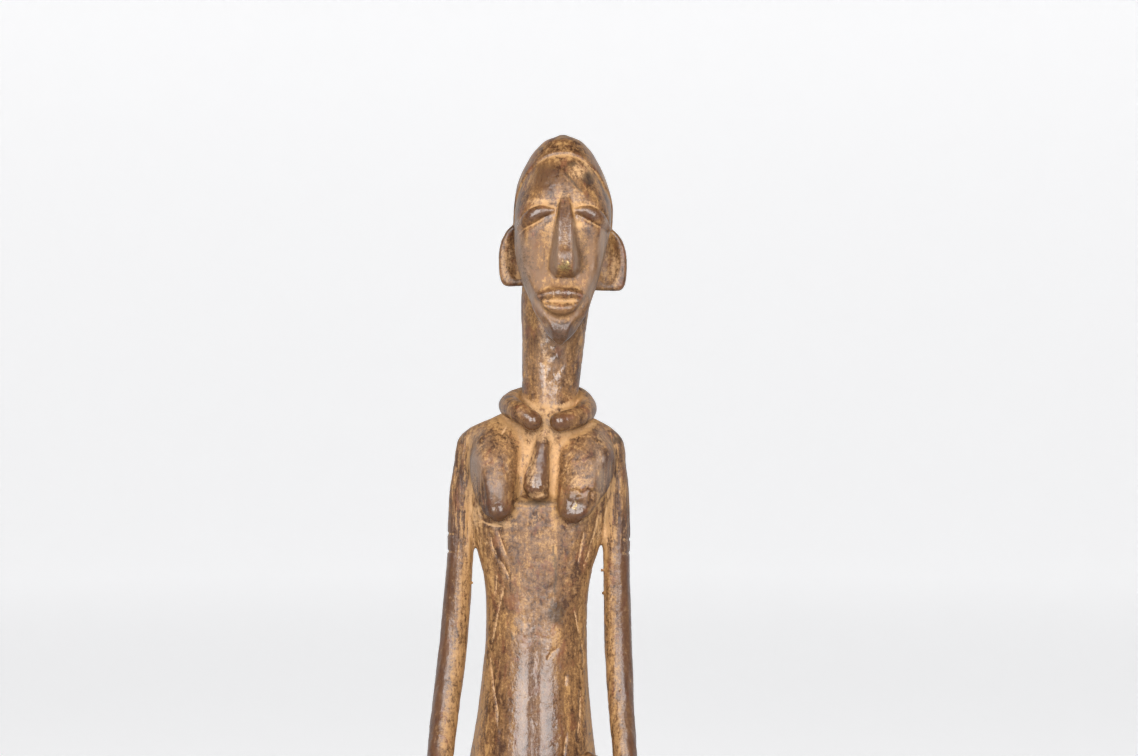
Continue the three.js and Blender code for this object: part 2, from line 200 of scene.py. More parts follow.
# %% [markdown]
# ## The wax
#
# Pressing two lumps of wax together leaves a soft joint. To get that, the whole figure is kept as a
# block of numbers: at each point of a fine grid, how far it is to the surface. Two forms join by
# taking the smaller distance, and a rounded smaller-of-two is the soft joint. Cutting is the same
# with the sign turned. OpenVDB, which comes with Blender, measures the distances from the moulds.

# %% A block of wax
GRAIN = 0.5  # mm between grid points
REACH = 4.5  # mm, how far from a surface the distance is kept
BLOCK = ((-64, -72, -3), (64, 72, 484))  # mm, corners of the block
SHAVED_EDGE = 0.6  # mm, how far the edge of a shaved flat is rounded


def softer(a, b, blend):
    """The smaller of two distances, rounded where they are within blend of each other."""
    if blend <= 0:
        return np.minimum(a, b)
    overlap = np.maximum(blend - np.abs(a - b), 0) / blend
    return np.minimum(a, b) - overlap * overlap * blend / 4


def blended(part, value_at):
    """A value between grid points, from what value_at gives at the eight corners round each."""
    total = 0
    for corner in np.ndindex(2, 2, 2):
        weight = np.prod(np.where(corner, part, 1 - part), axis=1)
        total = total + weight * value_at(corner)
    return total


class Wax:
    """A solid, kept as the distance to its surface in millimetres, positive outside."""

    def __init__(self, corners, grain):
        self.grain = grain
        self.first = np.floor(np.array(corners[0]) / grain).astype(int)
        self.count = np.ceil(np.array(corners[1]) / grain).astype(int) - self.first
        self.distance = np.full(self.count, REACH, np.float32)
        self.map = openvdb.createLinearTransform(voxelSize=grain)

    def measured(self, form):
        """The distances to a form, and the part of the block that they fill."""
        points, quads, triangles = form
        grid = openvdb.FloatGrid.createLevelSetFromPolygons(
            points.astype(np.float32),
            triangles=triangles.astype(np.uint32),
            quads=quads.astype(np.uint32),
            transform=self.map,
            halfWidth=REACH / self.grain,
        )
        first, last = (np.array(corner) for corner in grid.evalActiveVoxelBoundingBox())
        start = np.maximum(first, self.first)
        stop = np.minimum(last + 1, self.first + self.count)
        values = np.empty(stop - start, np.float32)
        grid.copyToArray(values, ijk=tuple(int(i) for i in start))
        region = tuple(slice(a, b) for a, b in zip(start - self.first, stop - self.first))
        return values, region

    def beyond(self, region, point, normal):
        """How far beyond a plane each grid point of a region lies."""
        normal = np.array(normal, float) / np.linalg.norm(normal)
        total = -float(normal @ np.array(point))
        for axis, part in enumerate(region):
            shape = [1, 1, 1]
            shape[axis] = -1
            places = (np.arange(part.start, part.stop) + self.first[axis]) * self.grain
            total = total + (places * normal[axis]).reshape(shape)
        return total

    def add(self, form, blend, flats=()):
        """Presses a form on. Each flat is a (point, normal) beyond which it is shaved off first."""
        values, region = self.measured(form)
        for point, normal in flats:
            values = -softer(-values, -self.beyond(region, point, normal), SHAVED_EDGE)
        self.distance[region] = softer(self.distance[region], values, blend)

    def cut(self, form, blend):
        values, region = self.measured(form)
        self.distance[region] = -softer(-self.distance[region], values, blend)

    def at(self, points):
        """The distance at any points, from the eight grid points round each."""
        place = points / self.grain - self.first
        base = np.clip(np.floor(place).astype(int), 0, self.count - 2)
        part = np.clip(place - base, 0, 1).astype(np.float32)
        return blended(part, lambda corner: self.distance[tuple((base + corner).T)])


wax = Wax(BLOCK, GRAIN)
print("the block has", f"{wax.distance.size / 1e6:.0f} million grid points")

# %% [markdown]
# ## Stool and base
#
# The stool is a waisted drum with a thick round seat, and the base is a low oval slab. They are
# cast in one with the figure. The photograph is cut off above them, so they are kept plain, as
# such castings usually are, with soft edges and two cut rings round the seat.

# %% Press the base and the stool
BASE = {"wide": 60, "deep": 68, "high": 8, "edge": 1.8}
edge = np.radians(np.array([0, 30, 60, 90]))
inset = BASE["edge"] * (1 - np.sin(edge))
rise = BASE["edge"] * (1 - np.cos(edge))
base_rows = [(z, BASE["wide"] - i, BASE["deep"] - i) for i, z in zip(inset, rise)]
base_rows += [(BASE["high"] - z, wide, deep) for z, wide, deep in base_rows[::-1]]
height, wide, deep = np.array(base_rows).T[:, :, None]
wax.add(skin(ovals(height * Z, wide * X, -deep * Y, deep * Y, sides=160)), 0)

SEAT_Y = 22
STOOL = [
    (6, 27), (9, 26.6), (11.5, 25), (15, 21.4), (20, 18), (28, 15.6), (38, 14.6), (48, 15.4),
    (57, 18.4), (64, 24.4), (70, 34.5), (73, 39), (75.5, 40), (81.5, 40), (84, 38.5),
]
rows = np.array(STOOL, float)
height = np.linspace(rows[0, 0], rows[-1, 0], 70)
radius = smooth(rows, height)
stem = SEAT_Y * Y + height[:, None] * Z
wax.add(skin(ovals(stem, radius * X, -radius * Y, radius * Y, sides=96)), 1.6)
for level in (76.6, 80.2):
    ring = hoop(0, SEAT_Y, level, 40.3, 0.7, np.linspace(0, 2 * math.pi, 41))
    wax.cut(limb(ring, steps=3, across=Z, sides=10), 0.3)
print("the stool's seat is", 2 * radius.max().round(1), "mm across")

# %% [markdown]
# ## The trunk
#
# She is long and slender: a narrow waist, a swelling belly, square shoulders and a tall neck that
# widens to the jaw. Her body leans a little to her own left as it rises, and the rows below keep
# that lean in their centres.

# %% Press the trunk and neck
TORSO = [
    (78, 0, 25, 33, 22, 24), (88, 0, 25, 40, 27, 30), (102, 0, 25, 42.5, 29.5, 31),
    (118, 0.4, 24.4, 40.6, 30.2, 28), (140, 0.9, 22.6, 36.2, 30.2, 23),
    (166, 1.4, 20.8, 32, 28, 19), (196, 2.2, 20, 27.8, 23, 17.2), (230, 3.1, 20, 25.3, 19, 16.5),
    (252, 3.4, 20, 25.9, 18, 17), (264, 3.6, 20.2, 28, 18, 17.5), (276, 4, 20.5, 31.6, 18, 18),
    (296, 4.6, 21, 36.6, 18, 19), (312, 5, 21.5, 40, 17, 18), (321, 5.3, 21.5, 42.2, 15, 16),
    (328, 5.2, 21.5, 40.6, 12.8, 13.8), (333, 5.3, 21.5, 35.5, 10.8, 11.8),
    (337.5, 6.5, 21, 26.5, 9, 10), (342, 8, 21, 15, 8, 9),
]
NECK = [
    (330, 8.5, 21, 15, 14, 14), (346, 9.6, 20.5, 14, 13.5, 13.5), (362, 10.8, 20, 14.7, 13.5, 13),
    (378, 11.8, 19, 15.7, 14, 12.5), (397, 12.8, 18, 17.2, 14.5, 12.5), (417, 14.5, 17, 17, 12, 11),
]


def trunk_power(height):
    """Round across the belly, a little squarer across the shoulders."""
    return np.interp(height, [235, 285], [2, 2.3])


wax.add(column(TORSO, power=trunk_power), 2)
wax.add(column(NECK), 3)
wax.add(egg((1.1, -8.4, 147), (3.2, 2.8, 3.2)), 1.2)
print("the trunk is pressed")

# %% [markdown]
# ## Arms
#
# The arms are thin rods that hang from the shoulders. Down to the armpits they are one with the
# trunk, below it they stand clear, and from the waist they bend forward: her right hand lies on her
# right knee and her left hand holds the child.

# %% Press the arms
RIGHT_ARM = [
    (-29.8, 21.5, 318, 7.6), (-31.7, 21.5, 303, 8.4), (-33.8, 21.5, 287, 7.5),
    (-34.9, 21, 268, 6.7), (-36.4, 20.5, 247, 7), (-38.4, 18.5, 224, 7.1), (-41.2, 12, 199, 7),
    (-43.6, 1, 175, 6.7), (-43.8, -12, 152, 6.1), (-40.5, -24, 132, 5.4), (-36, -33, 119, 4.8),
]
LEFT_ARM = [
    (40, 21.5, 318, 7.6), (41.3, 21.5, 303, 8.2), (42.6, 21.5, 287, 7.4), (43.3, 21, 268, 6.8),
    (43.6, 20.5, 247, 7), (44.2, 18.5, 224, 7), (45.2, 12, 199, 6.6), (46.8, 2, 175, 6.1),
    (47.8, -8, 152, 5.8), (46.8, -14, 136, 5.2), (44.6, -18, 124, 4.8),
]
for arm in (RIGHT_ARM, LEFT_ARM):
    wax.add(limb(arm), 2.2)
print("the arms are", RIGHT_ARM[4][3] * 2, "mm thick at the elbow")

# %% [markdown]
# ## Breasts, chest and drop
#
# The breasts are long cones with blunt tips, set a little apart, and their outer sides are shaved
# flat with a knife. Between them the chest stands over the belly like a shelf, with a deep cut
# under its edge, and a drop-shaped pendant lies on it under the ends of the neck ring.

# %% Press the breasts, the chest and the drop
BREAST_DEPTHS = [
    (-2, 3, 3), (-0.8, 6.4, 5.6), (1.6, 9, 7), (4.6, 12, 9), (7, 12.4, 10), (10, 10.5, 10),
    (16, 6.8, 6), (21.5, 4.6, 5),
]
RIGHT_BREAST = [
    (288.5, -15.4, 3), (291, -15.5, 6.2), (295, -15.9, 8.6), (302, -16.8, 11.4), (311, -17.3, 12.6),
    (322, -16.8, 12.2), (333, -13.4, 9.2), (339.5, -9, 5),
]
LEFT_BREAST = [
    (287.5, 21.6, 3.2), (290, 22, 6.6), (294.5, 23.2, 9.4), (302, 25.6, 12.6), (311, 27.5, 14.4),
    (322, 27.4, 14), (333, 24.2, 10.4), (339.5, 21, 6.4),
]
CHEST = [
    (297, 4, 12, 8, 9.4, 8), (299, 4, 12, 11.4, 12, 8), (303, 4, 12, 12.4, 12.2, 8),
    (312, 4.5, 12.6, 13, 11, 8), (334, 6.5, 16, 12, 7, 8),
]
DROP = [
    (300.4, 3.3, -1, 3.6, 4.6, 6), (303.2, 3.3, -1, 6.4, 6.8, 6), (307.4, 3.5, -0.6, 6.7, 6.6, 6),
    (315, 4.7, 0.6, 5.4, 5.4, 6), (325, 6.2, 2.2, 3.4, 3.9, 6), (332, 7.3, 5, 1.6, 2.6, 6),
]
OUTER_FLATS = [
    ((-26.6, 1.2, 311), (-0.845, -0.53, -0.08)),
    ((37.3, 0.85, 311), (0.845, -0.53, -0.08)),
]
wax.add(column(CHEST), 1)
wax.add(egg((4.2, -1, 301), (5.6, 5.4, 3.4)), 1)
for outline, flat in zip((RIGHT_BREAST, LEFT_BREAST), OUTER_FLATS):
    rows = [
        (level, x, y, wide, front, back)
        for (level, x, wide), (y, front, back) in zip(outline, BREAST_DEPTHS)
    ]
    wax.add(column(rows, power=2.1, dome=(1, 1)), 3, [flat])
wax.add(column(DROP), 0.4)
wax.cut(limb([(-8, 3, 296.4, 1.6), (4, 0.6, 295.6, 2.8), (15, 3, 296.4, 1.6)], across=Z), 0.6)
print("the drop is", round(DROP[-1][0] - DROP[0][0], 1), "mm long")

# %% [markdown]
# ## The neck ring
#
# A thick open ring lies round the foot of the neck. It dips to the front, where its blunt ends meet
# with a narrow gap, and it is a little higher on her right. A low collar of wax fills the space
# between it and the neck, so only a groove is left there.

# %% Press the neck ring
RING = [
    (1.5, -1.2, 336.8, 4.9), (-4.8, 3, 341, 5.3), (-9, 12, 343.4, 5.5), (-10, 20, 344.8, 5.4),
    (-6, 31, 347.4, 5.4), (3, 37, 349.6, 5.3), (14, 37.6, 350, 5.3), (23.5, 32, 348.2, 5.4),
    (27.8, 21, 343.8, 5.4), (26.8, 10, 340.6, 5.4), (21.7, 2.6, 338, 5.2), (14.9, -1.2, 336.4, 4.9),
]
COLLAR = [
    (314, 6.6, 19, 11, 13, 14), (322, 8, 19, 14, 14.4, 15), (330, 9, 19, 16.4, 16, 16),
    (338, 9.2, 19, 16, 15, 15), (342.5, 9.4, 20, 14.6, 13.4, 14),
]
wax.add(column(COLLAR), 2.4)
wax.add(limb(RING, across=Z), 0.4)
ring_sides = [x + reach for x, _, _, thick in RING for reach in (-thick, thick)]
print("the neck ring is", round(max(ring_sides) - min(ring_sides)), "mm wide")

# %% [markdown]
# ## Legs, feet and the wrap
#
# She sits with her knees bent square. A plain wrap covers the thighs as two sleeves with a slack
# web between them, and its hem shows above the knees. The feet stand flat on the base.

# %% Press the legs and the wrap
LAP = 97
KNEE_Y = -40


def thigh_points(side, reach, grow):
    rows = zip((0, 0.5, 1), (15, 13.4, 11))
    return [
        (side * (20 + 5.6 * share), 20 + (reach - 20) * share, LAP + 2 * (1 - share), radius + grow)
        for share, radius in rows
    ]


def leg(side):
    """A thigh, a shin, a foot and five toes, with the softness of each joint."""
    knee, ankle, sole = side * 25.6, side * 25, BASE["high"]
    shin = [
        (knee, KNEE_Y, LAP, 10.6),
        (knee, KNEE_Y - 1, 80, 9.2),
        (knee, KNEE_Y + 1, 62, 9),
        (ankle, KNEE_Y + 4, 42, 7.3),
        (ankle, KNEE_Y + 5, 24, 6.2),
        (ankle, KNEE_Y + 5, 14, 6.8),
    ]
    sole_points = [
        (ankle, KNEE_Y + 8.5, sole + 4.5, 6.2),
        (ankle, KNEE_Y, sole + 4.8, 6.6),
        (ankle + side * 0.6, KNEE_Y - 8, sole + 3, 7.4),
    ]
    yield limb(thigh_points(side, KNEE_Y, 0)), 2
    yield limb(shin), 2.5
    yield limb(sole_points, flat=0.72), 2
    for bone in (-1, 1):
        yield egg((ankle + bone * 6.2, KNEE_Y + 4.6, 17), (1.8, 2.4, 2.6)), 1.2
    for place in (-2, -1, 0, 1, 2):
        inner = -side * place
        x = ankle + side * 0.7 + place * 2.7
        toe = [
            (x, KNEE_Y - 7, sole + 2.6, 1.7 + 0.16 * inner),
            (x + place * 0.2, KNEE_Y - 15 - inner, sole + 1.3, 1.7 + 0.16 * inner),
        ]
        yield limb(toe), 0.35


WEB_BACK, HEM_Y = 18, -22
WRAP_THICK = 1.3
for side in (-1, 1):
    for form, blend in leg(side):
        wax.add(form, blend)
    wax.add(limb(thigh_points(side, HEM_Y, WRAP_THICK)), 0.4)
web_y = np.linspace(WEB_BACK, HEM_Y - 1.5, 12)[:, None]
web_share = (WEB_BACK - web_y) / (WEB_BACK - HEM_Y)
web_middle = web_y * Y + (LAP + 1 - 2.4 * web_share) * Z
web_wide = (20 + 4 * web_share) * X
full = np.ones_like(web_y)
web = ovals(web_middle, web_wide, -8 * full * Z, 9 * full * Z, 2.4)
wax.add(skin(domed(web, 1 * Y, -1.5 * Y)), 2)
print("the seat to the knees is", SEAT_Y - KNEE_Y, "mm")

# %% [markdown]
# ## Hands
#
# A hand is a flat pad with four rolled fingers and a thumb laid on. The fingers bend once over what
# they hold.


# %% Press the hands
FINGERS = (-1.5, -0.5, 0.5, 1.5)


def hand(wrist, palm, spread, reach, curl, thumb):
    """The back of a hand, its fingers and its thumb."""
    wrist, palm, spread, reach, curl, thumb = (
        np.array(vector, float) for vector in (wrist, palm, spread, reach, curl, thumb)
    )
    middle = (wrist + palm) / 2
    pad = [(*wrist, 4.5), (*middle, 5.4), (*palm, 5.6)]
    yield limb(pad, flat=0.55, across=spread / np.linalg.norm(spread)), 1.4
    for place in FINGERS:
        root = palm + spread * place
        long = 1 - 0.07 * place * place
        bend = root + reach * 0.75 * long
        tip = root + (reach + curl) * long
        yield limb([(*root, 2), (*bend, 1.95), (*tip, 1.6)], sides=20), 0.35
    ball = palm * 0.4 + wrist * 0.6
    yield limb([(*ball, 2.2), (*(ball + thumb * 0.6), 2.1), (*(ball + thumb), 1.7)], sides=20), 0.6


RIGHT_PALM = (-30, -41.5, 112)
RIGHT_HAND = hand(
    wrist=RIGHT_ARM[-1][:3],
    palm=RIGHT_PALM,
    spread=(3.1, 0.9, 0.4),
    reach=(0.8, -8.5, -2.5),
    curl=(0.3, -2, -6.5),
    thumb=(8, -2, -1.5),
)
LEFT_HAND = hand(
    wrist=LEFT_ARM[-1][:3],
    palm=(42.2, -25, 118),
    spread=(0.4, -0.6, 2.9),
    reach=(-1, -7.5, -1),
    curl=(-6, -2.5, 0.5),
    thumb=(-3.5, -4.5, 6.5),
)
print("her right hand lies", RIGHT_PALM[2] - LAP, "mm above the middle of the knee")

# %% [markdown]
# ## The head
#
# The head is an upright egg with a pointed chin, far out in front of the neck. A close cap of hair
# is the same egg, a little larger, kept behind a plane that slants from the forehead to the nape.
# The face is a schematic mask, set out on simple shares of the head's height: nearly flat across
# the cheeks, with a bevel shaved along each side from the temple down to the chin.

# %% Press the head and its cap of hair
CHIN, CROWN, HEAD_X = 375, 477.5, 17
HEAD = [
    (0, -1.8, 1.6, -16, -12), (0.03, -1.7, 5.2, -19, -9), (0.1, -1.4, 9.8, -20, -3),
    (0.2, -1.5, 14.8, -19.6, 7), (0.3, -1.9, 18.7, -18.4, 19), (0.42, -1.9, 22, -17.6, 31),
    (0.56, -0.7, 23.8, -18, 39.5), (0.67, -0.3, 23.7, -18.2, 41.8), (0.78, -0.8, 21.2, -15.4, 40.8),
    (0.87, -0.8, 17, -10, 37), (0.94, -0.7, 12, -3.4, 31), (0.98, -0.6, 6.8, 3.2, 24),
    (1, -0.6, 1.4, 11, 16),
]


def face_z(share):
    return CHIN + (CROWN - CHIN) * share


def face_share(height):
    return (height - CHIN) / (CROWN - CHIN)


def face_power(height):
    """Flat and square-edged across the cheeks, round on the forehead."""
    return 2.3 + 2.9 * (1 - np.clip((face_share(height) - 0.45) / 0.3, 0, 1))


def head(grow=0.0):
    share, x, wide, front, back = np.transpose(HEAD)
    middle = front * 0.45 + back * 0.55
    height = face_z(share) + grow * (2 * share - 1)
    rows = [height, HEAD_X + x, middle, wide + grow, middle - front + grow, back - middle + grow]
    return column(np.transpose(rows), power=face_power, dome=(0.8, 0.4))


def face_y(out, share):
    """How far forward the plain mask reaches, so far out from its middle line."""
    lean, wide, front, back = smooth(HEAD, [share])[0]
    middle = front * 0.45 + back * 0.55
    power = face_power(face_z(share))
    part = min(abs(out - lean) / wide, 1) ** power
    return middle - (middle - front) * (1 - part) ** (1 / power)


BEVELS = []
for side in (-1, 1):
    BEVELS.append(((HEAD_X - 1.7 + side * 12.7, -18.6, 401.5), (side * 0.81, -0.49, -0.32)))
    BEVELS.append(((HEAD_X - 1.7 + side * 18, -17.4, 425), (side * 0.87, -0.49, -0.03)))
wax.add(head(), 1, BEVELS)
HAIR_THICK = 0.8
SLANT = math.radians(59.5)
HAIRLINE = ((HEAD_X, -8.5, face_z(0.913)), (0, -math.sin(SLANT), -math.cos(SLANT)))
wax.add(head(HAIR_THICK), 0, [HAIRLINE])
print("the head is", CROWN - CHIN, "mm tall, and the hair is", HAIR_THICK, "mm thick")

# %% [markdown]
# ## Face and ears
#
# The nose is a narrow flat ridge with sides that flare down to the face. The lids are heavy, closed
# and droop outwards, each in a shallow socket. Two small lips stand on a low muzzle, a crease under
# them sets off the pointed chin, and the ears are half-round shells, hollowed in front.

# %% Press the face
NOSE_X = HEAD_X + 0.6
NOSE = [
    (0.312, 2.6, 6.2, 3.6), (0.34, 3.5, 8.4, 8.6), (0.385, 3.5, 8.4, 10.4), (0.47, 3.4, 6.7, 8.2),
    (0.61, 2.8, 4.4, 4), (0.68, 2, 3.2, 1), (0.72, 1.2, 2, -0.8),
]


def nose():
    """Four-cornered rings: the ridge in front and the flare where the sides meet the face."""
    share = np.linspace(NOSE[0][0], NOSE[-1][0], 40)
    ridge, flare, stand = smooth(NOSE, share).T
    face = np.full_like(share, -17)
    front = -17.8 - stand
    half = [(flare + 0.6, face + 3), (flare, face), (ridge, front)]
    corners = half + [(-out, depth) for out, depth in half[::-1]]
    rings = [np.stack([NOSE_X + out, depth, face_z(share)], 1) for out, depth in corners]
    return skin(np.stack(rings, 1))


def across_face(side, points, sink):
    """Points of (out, share, radius) laid on one side of the mask, and sunk below it."""
    return [
        (HEAD_X + side * out, face_y(side * out, share) + sink, face_z(share), radius)
        for out, share, radius in points
    ]


LID = [(5.4, 0.626, 1.3), (11.5, 0.62, 3.1), (17.3, 0.588, 3.4), (21.6, 0.545, 1.8)]
SOCKET = [(4.6, 0.634, 2.2), (11.3, 0.622, 4.8), (17.4, 0.594, 4.8), (21.8, 0.548, 2.6)]
NOSE_FLANK = [(8, 0.56, 1.6), (11, 0.46, 2.8), (12.5, 0.37, 2.4)]
for side in (-1, 1):
    wax.cut(limb(across_face(side, SOCKET, -0.4), flat=0.4, across=Z), 1.2)
    wax.cut(limb(across_face(side, NOSE_FLANK, -1.6), flat=0.8), 2)
    wax.add(limb(across_face(side, LID, 0.5), flat=0.72, across=Z), 0.4)
wax.add(nose(), 0.7)


def roll(points, sink, across=Z):
    """A roll of wax laid on the face along points of (x, z, radius)."""
    laid = [(x, face_y(x - HEAD_X, face_share(z)) + sink, z, radius) for x, z, radius in points]
    return limb(laid, across=across)


MOUTH_X = HEAD_X - 1.2
UPPER_LIP = [
    (4.8, 397.4, 1.1), (9.4, 398.6, 2), (13.6, 399.2, 2.4), (17.8, 398.9, 2.2), (21.6, 398.9, 2.1),
    (25.4, 397.6, 1.1),
]
LOWER_LIP = [
    (8.2, 392.8, 1.2), (12, 391.8, 2.3), (15.8, 391.2, 2.5), (19.6, 391.8, 2.2), (23.2, 393, 1.1),
]
CREASE = [
    (3.4, 396, 0.9), (7.8, 390, 1.2), (15.8, 386, 1.5), (23.4, 389.6, 1.2), (28.4, 396.4, 0.9),
]
wax.add(egg((MOUTH_X, -14.3, 394.5), (13.5, 6.6, 10)), 4)
wax.cut(roll([(6.6, 395.6, 0.6), (15.8, 395.2, 0.9), (24.8, 395.6, 0.6)], -2.4), 1)
wax.add(roll(UPPER_LIP, -1.3), 2.2)
wax.add(roll(LOWER_LIP, -1.2), 2.2)
wax.cut(roll([(12.2, 400.8, 0.4), (11.8, 397.6, 0.4)], -3.4, across=X), 0.6)
wax.cut(roll([(18.6, 400.6, 0.4), (19, 397.4, 0.4)], -3.4, across=X), 0.6)
wax.cut(roll(CREASE, -0.7), 2)
print("the nose stands", NOSE[2][3], "mm off the face")


# %% Press the ears
def ear_outline(root, rim, top, bottom, steps=14):
    """A half-round outline in (out, height): a long outer arc, a tight lower corner."""
    middle = (top + bottom) / 2 - 3

    def arc(a, b, c, d):
        t = np.linspace(0, 1, steps, endpoint=False)[:, None]
        a, b, c, d = (np.array(point, float) for point in (a, b, c, d))
        return a * (1 - t) ** 3 + 3 * b * t * (1 - t) ** 2 + 3 * c * t * t * (1 - t) + d * t**3

    return np.vstack(
        [
            arc((root, top - 1), (rim - 5, top - 1), (rim, top - 10), (rim, middle)),
            arc((rim, middle), (rim, bottom + 2.5), (rim - 1, bottom), (rim - 6, bottom)),
            [(rim - 6, bottom), (root, bottom + 0.6)],
        ]
    )


EAR = {"root": 15, "rim": 31.8, "top": 436.8, "bottom": 402.2, "y": 12, "thick": 5.6}
outline = ear_outline(EAR["root"], EAR["rim"], EAR["top"], EAR["bottom"])
centre = np.array([EAR["root"] + 4, 417.5])
for side in (-1, 1):
    shift = np.array([HEAD_X - 0.6, 0, -1.2 * side])
    rings = []
    for turn in np.radians([-90, -60, -30, 0, 30, 60, 90]):
        pull = 1 - 0.09 * (1 - math.cos(turn))
        out, height = (centre + (outline - centre) * pull).T
        depth = EAR["y"] + EAR["thick"] / 2 * math.sin(turn)
        rings.append(np.stack([side * out, np.full_like(out, depth), height], 1) + shift)
    wax.add(skin(np.array(rings)), 1)
    hollow = np.array([side * (EAR["rim"] - 9.4), EAR["y"] - 3.4, 418]) + shift
    wax.cut(egg(hollow, (6.2, 3.2, 13), -side * 8), 1.2)
EAR_NICK = [(38.5, 9, 420.6, 0.7), (42.5, 8.6, 421.8, 0.8), (47.5, 9.4, 424.4, 0.7)]
wax.cut(limb(EAR_NICK, across=Z), 0.3)
print("the ears are", round(EAR["top"] - EAR["bottom"], 1), "mm tall")

# %% [markdown]
# ## The child
#
# The child is a small echo of its mother and sits astride her left thigh. It is rolled and pressed
# from the same few forms, and her left hand closes over its hip.

# %% Press the child
CHILD = {"x": 28.6, "y": -21.5, "seat": 109, "neck": 139, "crown": 177}


def child():
    """The child's forms, each with the softness of its joint."""
    x, y, seat, neck = (CHILD[name] for name in ("x", "y", "seat", "neck"))
    tall = CHILD["crown"] - neck

    def beside(side, base, rows):
        """Rows of (out, back, up, radius) from the child's middle line, on one side of it."""
        return [(x + side * out, y + back, base + up, radius) for out, back, up, radius in rows]

    trunk = [
        (-4, 0, 8, 7, 7), (4, 0, 8.8, 7.6, 7.4), (13, 0, 7.6, 7.4, 6.4), (23, 0, 9.4, 6.2, 6),
        (27.5, 0, 8.2, 4.8, 5), (31, 0, 4.8, 4, 4), (39, 0.5, 5.4, 5, 6),
    ]
    skull = [
        (0, 1.2, -8, -6), (0.1, 4.6, -9.8, -2), (0.28, 8.6, -10.6, 6), (0.5, 11.2, -10.6, 13),
        (0.66, 11.4, -9.6, 14), (0.84, 8.8, -6.4, 12), (0.95, 4.8, -1.6, 8), (1, 1, 2.6, 4),
    ]
    skull_rows = []
    for share, wide, front, back in skull:
        half = (back - front) / 2
        skull_rows.append((neck + tall * share, x, y + (front + back) / 2, wide, half, half))
    yield column([(seat + up, x, y + back, *sizes) for up, back, *sizes in trunk]), 1.5
    yield column(skull_rows, power=2.3, dome=(0.4, 0.3)), 0.6
    yield limb(beside(1, neck, [(0, -9.8, 24.5, 1), (0, -12.2, 14, 2)]), sides=20), 0.5
    for up, wide in ((9.6, 2.6), (7, 2.2)):
        lip = [(-wide, -9.8, up, 0.9), (wide, -9.8, up, 0.9)]
        yield limb(beside(1, neck, lip), across=Z), 0.3
    for side in (-1, 1):
        lid = [(2.8, -10.3, 21.2, 0.8), (5.6, -9.6, 21, 1.5), (8.4, -7, 19.6, 0.9)]
        yield limb(beside(side, neck, lid), flat=0.7, across=Z, sides=20), 0.25
        yield egg((x + side * 11.6, y + 3.2, neck + 17.4), (1.9, 1.7, 5.6), side * 20), 0.5
        yield egg((x + side * 3.8, y - 5.8, seat + 21.5), (1.6, 1.5, 1.6)), 0.8
        arm = [(8.8, 0, 24.5, 3.4), (11.4, -0.5, 16, 3), (11.6, -6, 9, 2.7), (10.8, -14, 6, 2.6)]
        yield limb(beside(side, seat, arm)), 1
        leg_and_foot = [
            (5, 1, 2, 5), (10.4, -11, 2, 4.3), (13.4, -18.5, -2, 3.9), (14.2, -19, -12, 3.2),
            (14.2, -20, -20, 2.8), (14.4, -25, -23, 2.7),
        ]
        yield limb(beside(side, seat, leg_and_foot)), 1.2
        for place in FINGERS:
            root = (x + side * 10.8 + place * 1.35, y - 15.6, seat + 5.4)
            tip = (root[0], root[1] - 2.2, root[2] - 2.4)
            yield limb([(*root, 0.8), (*tip, 0.7)], sides=12, steps=3), 0.2


for form, blend in (*child(), *RIGHT_HAND, *LEFT_HAND):
    wax.add(form, blend)
print("the child is", CHILD["crown"] - CHILD["seat"], "mm from seat to crown")

# %% [markdown]
# ## Cuts in the wax
#
# Some marks are too deep to scratch: the two rings round each upper arm and the hollows beside the
# drop and under the neck ring, which later hold the palest earth.

# %% Cut the armlets and the hollows of the chest
ARMLETS = (((-34.4, 21.2), (280.3, 271.4)), ((43.1, 21.2), (277.4, 270.6)))
for (x, y), levels in ARMLETS:
    turns = math.copysign(1, x) * np.radians(np.linspace(32, 170, 9))
    for level in levels:
        ring = hoop(x, y, level, 7.1, 0.75, turns)
        wax.cut(limb(ring, steps=3, across=Z, sides=12), 0.15)

HOLLOWS = [
    [(3.4, -0.6, 329, 1.3), (0.4, -0.8, 317, 1.9), (-2.4, -0.6, 304, 1.7)],
    [(11, -0.6, 329, 1.3), (11.6, -0.8, 317, 1.9), (11.2, -0.6, 304, 1.7)],
    [(-14.4, 9, 338.8, 1), (-7, 3, 333, 1.5), (2, -0.4, 329.4, 1.4)],
    [(32.8, 9, 334.4, 1), (24, 2.8, 331.4, 1.5), (13, -0.4, 329.2, 1.4)],
]
for points in HOLLOWS:
    wax.cut(limb(points), 1)
for nub in ((-28.7, 19, 255.6), (36, 19, 262), (36.4, 19, 250.6)):
    wax.add(egg(nub, (0.7, 0.8, 1)), 0.3)
print("cut 4 arm rings and", len(HOLLOWS), "hollows")

# %% [markdown]
# ## From wax to skin
#
# OpenVDB turns the block into a skin of small quads where the distance is zero. The fine marks are
# made on that skin, point by point, because they are finer than the grid: each point moves a little
# along the direction in which the surface faces.

# %% Take the skin off the block
grid = openvdb.FloatGrid(REACH)
grid.transform = wax.map
grid.copyFromArray(wax.distance, ijk=tuple(int(i) for i in wax.first), tolerance=1e-3)
points, triangles, quads = grid.convertToPolygons(isovalue=0.0, adaptivity=0.0)
del grid
points = points.astype(np.float64)
print("the skin has", len(points), "points and", len(quads), "quads")


def facing(where, reach=0.7):
    """Which way the surface faces at points: the direction in which the distance grows."""
    slope = [wax.at(where + reach * axis) - wax.at(where - reach * axis) for axis in (X, Y, Z)]
    slope = np.stack(slope, 1)
    return slope / np.maximum(np.linalg.norm(slope, axis=1, keepdims=True), 1e-6)


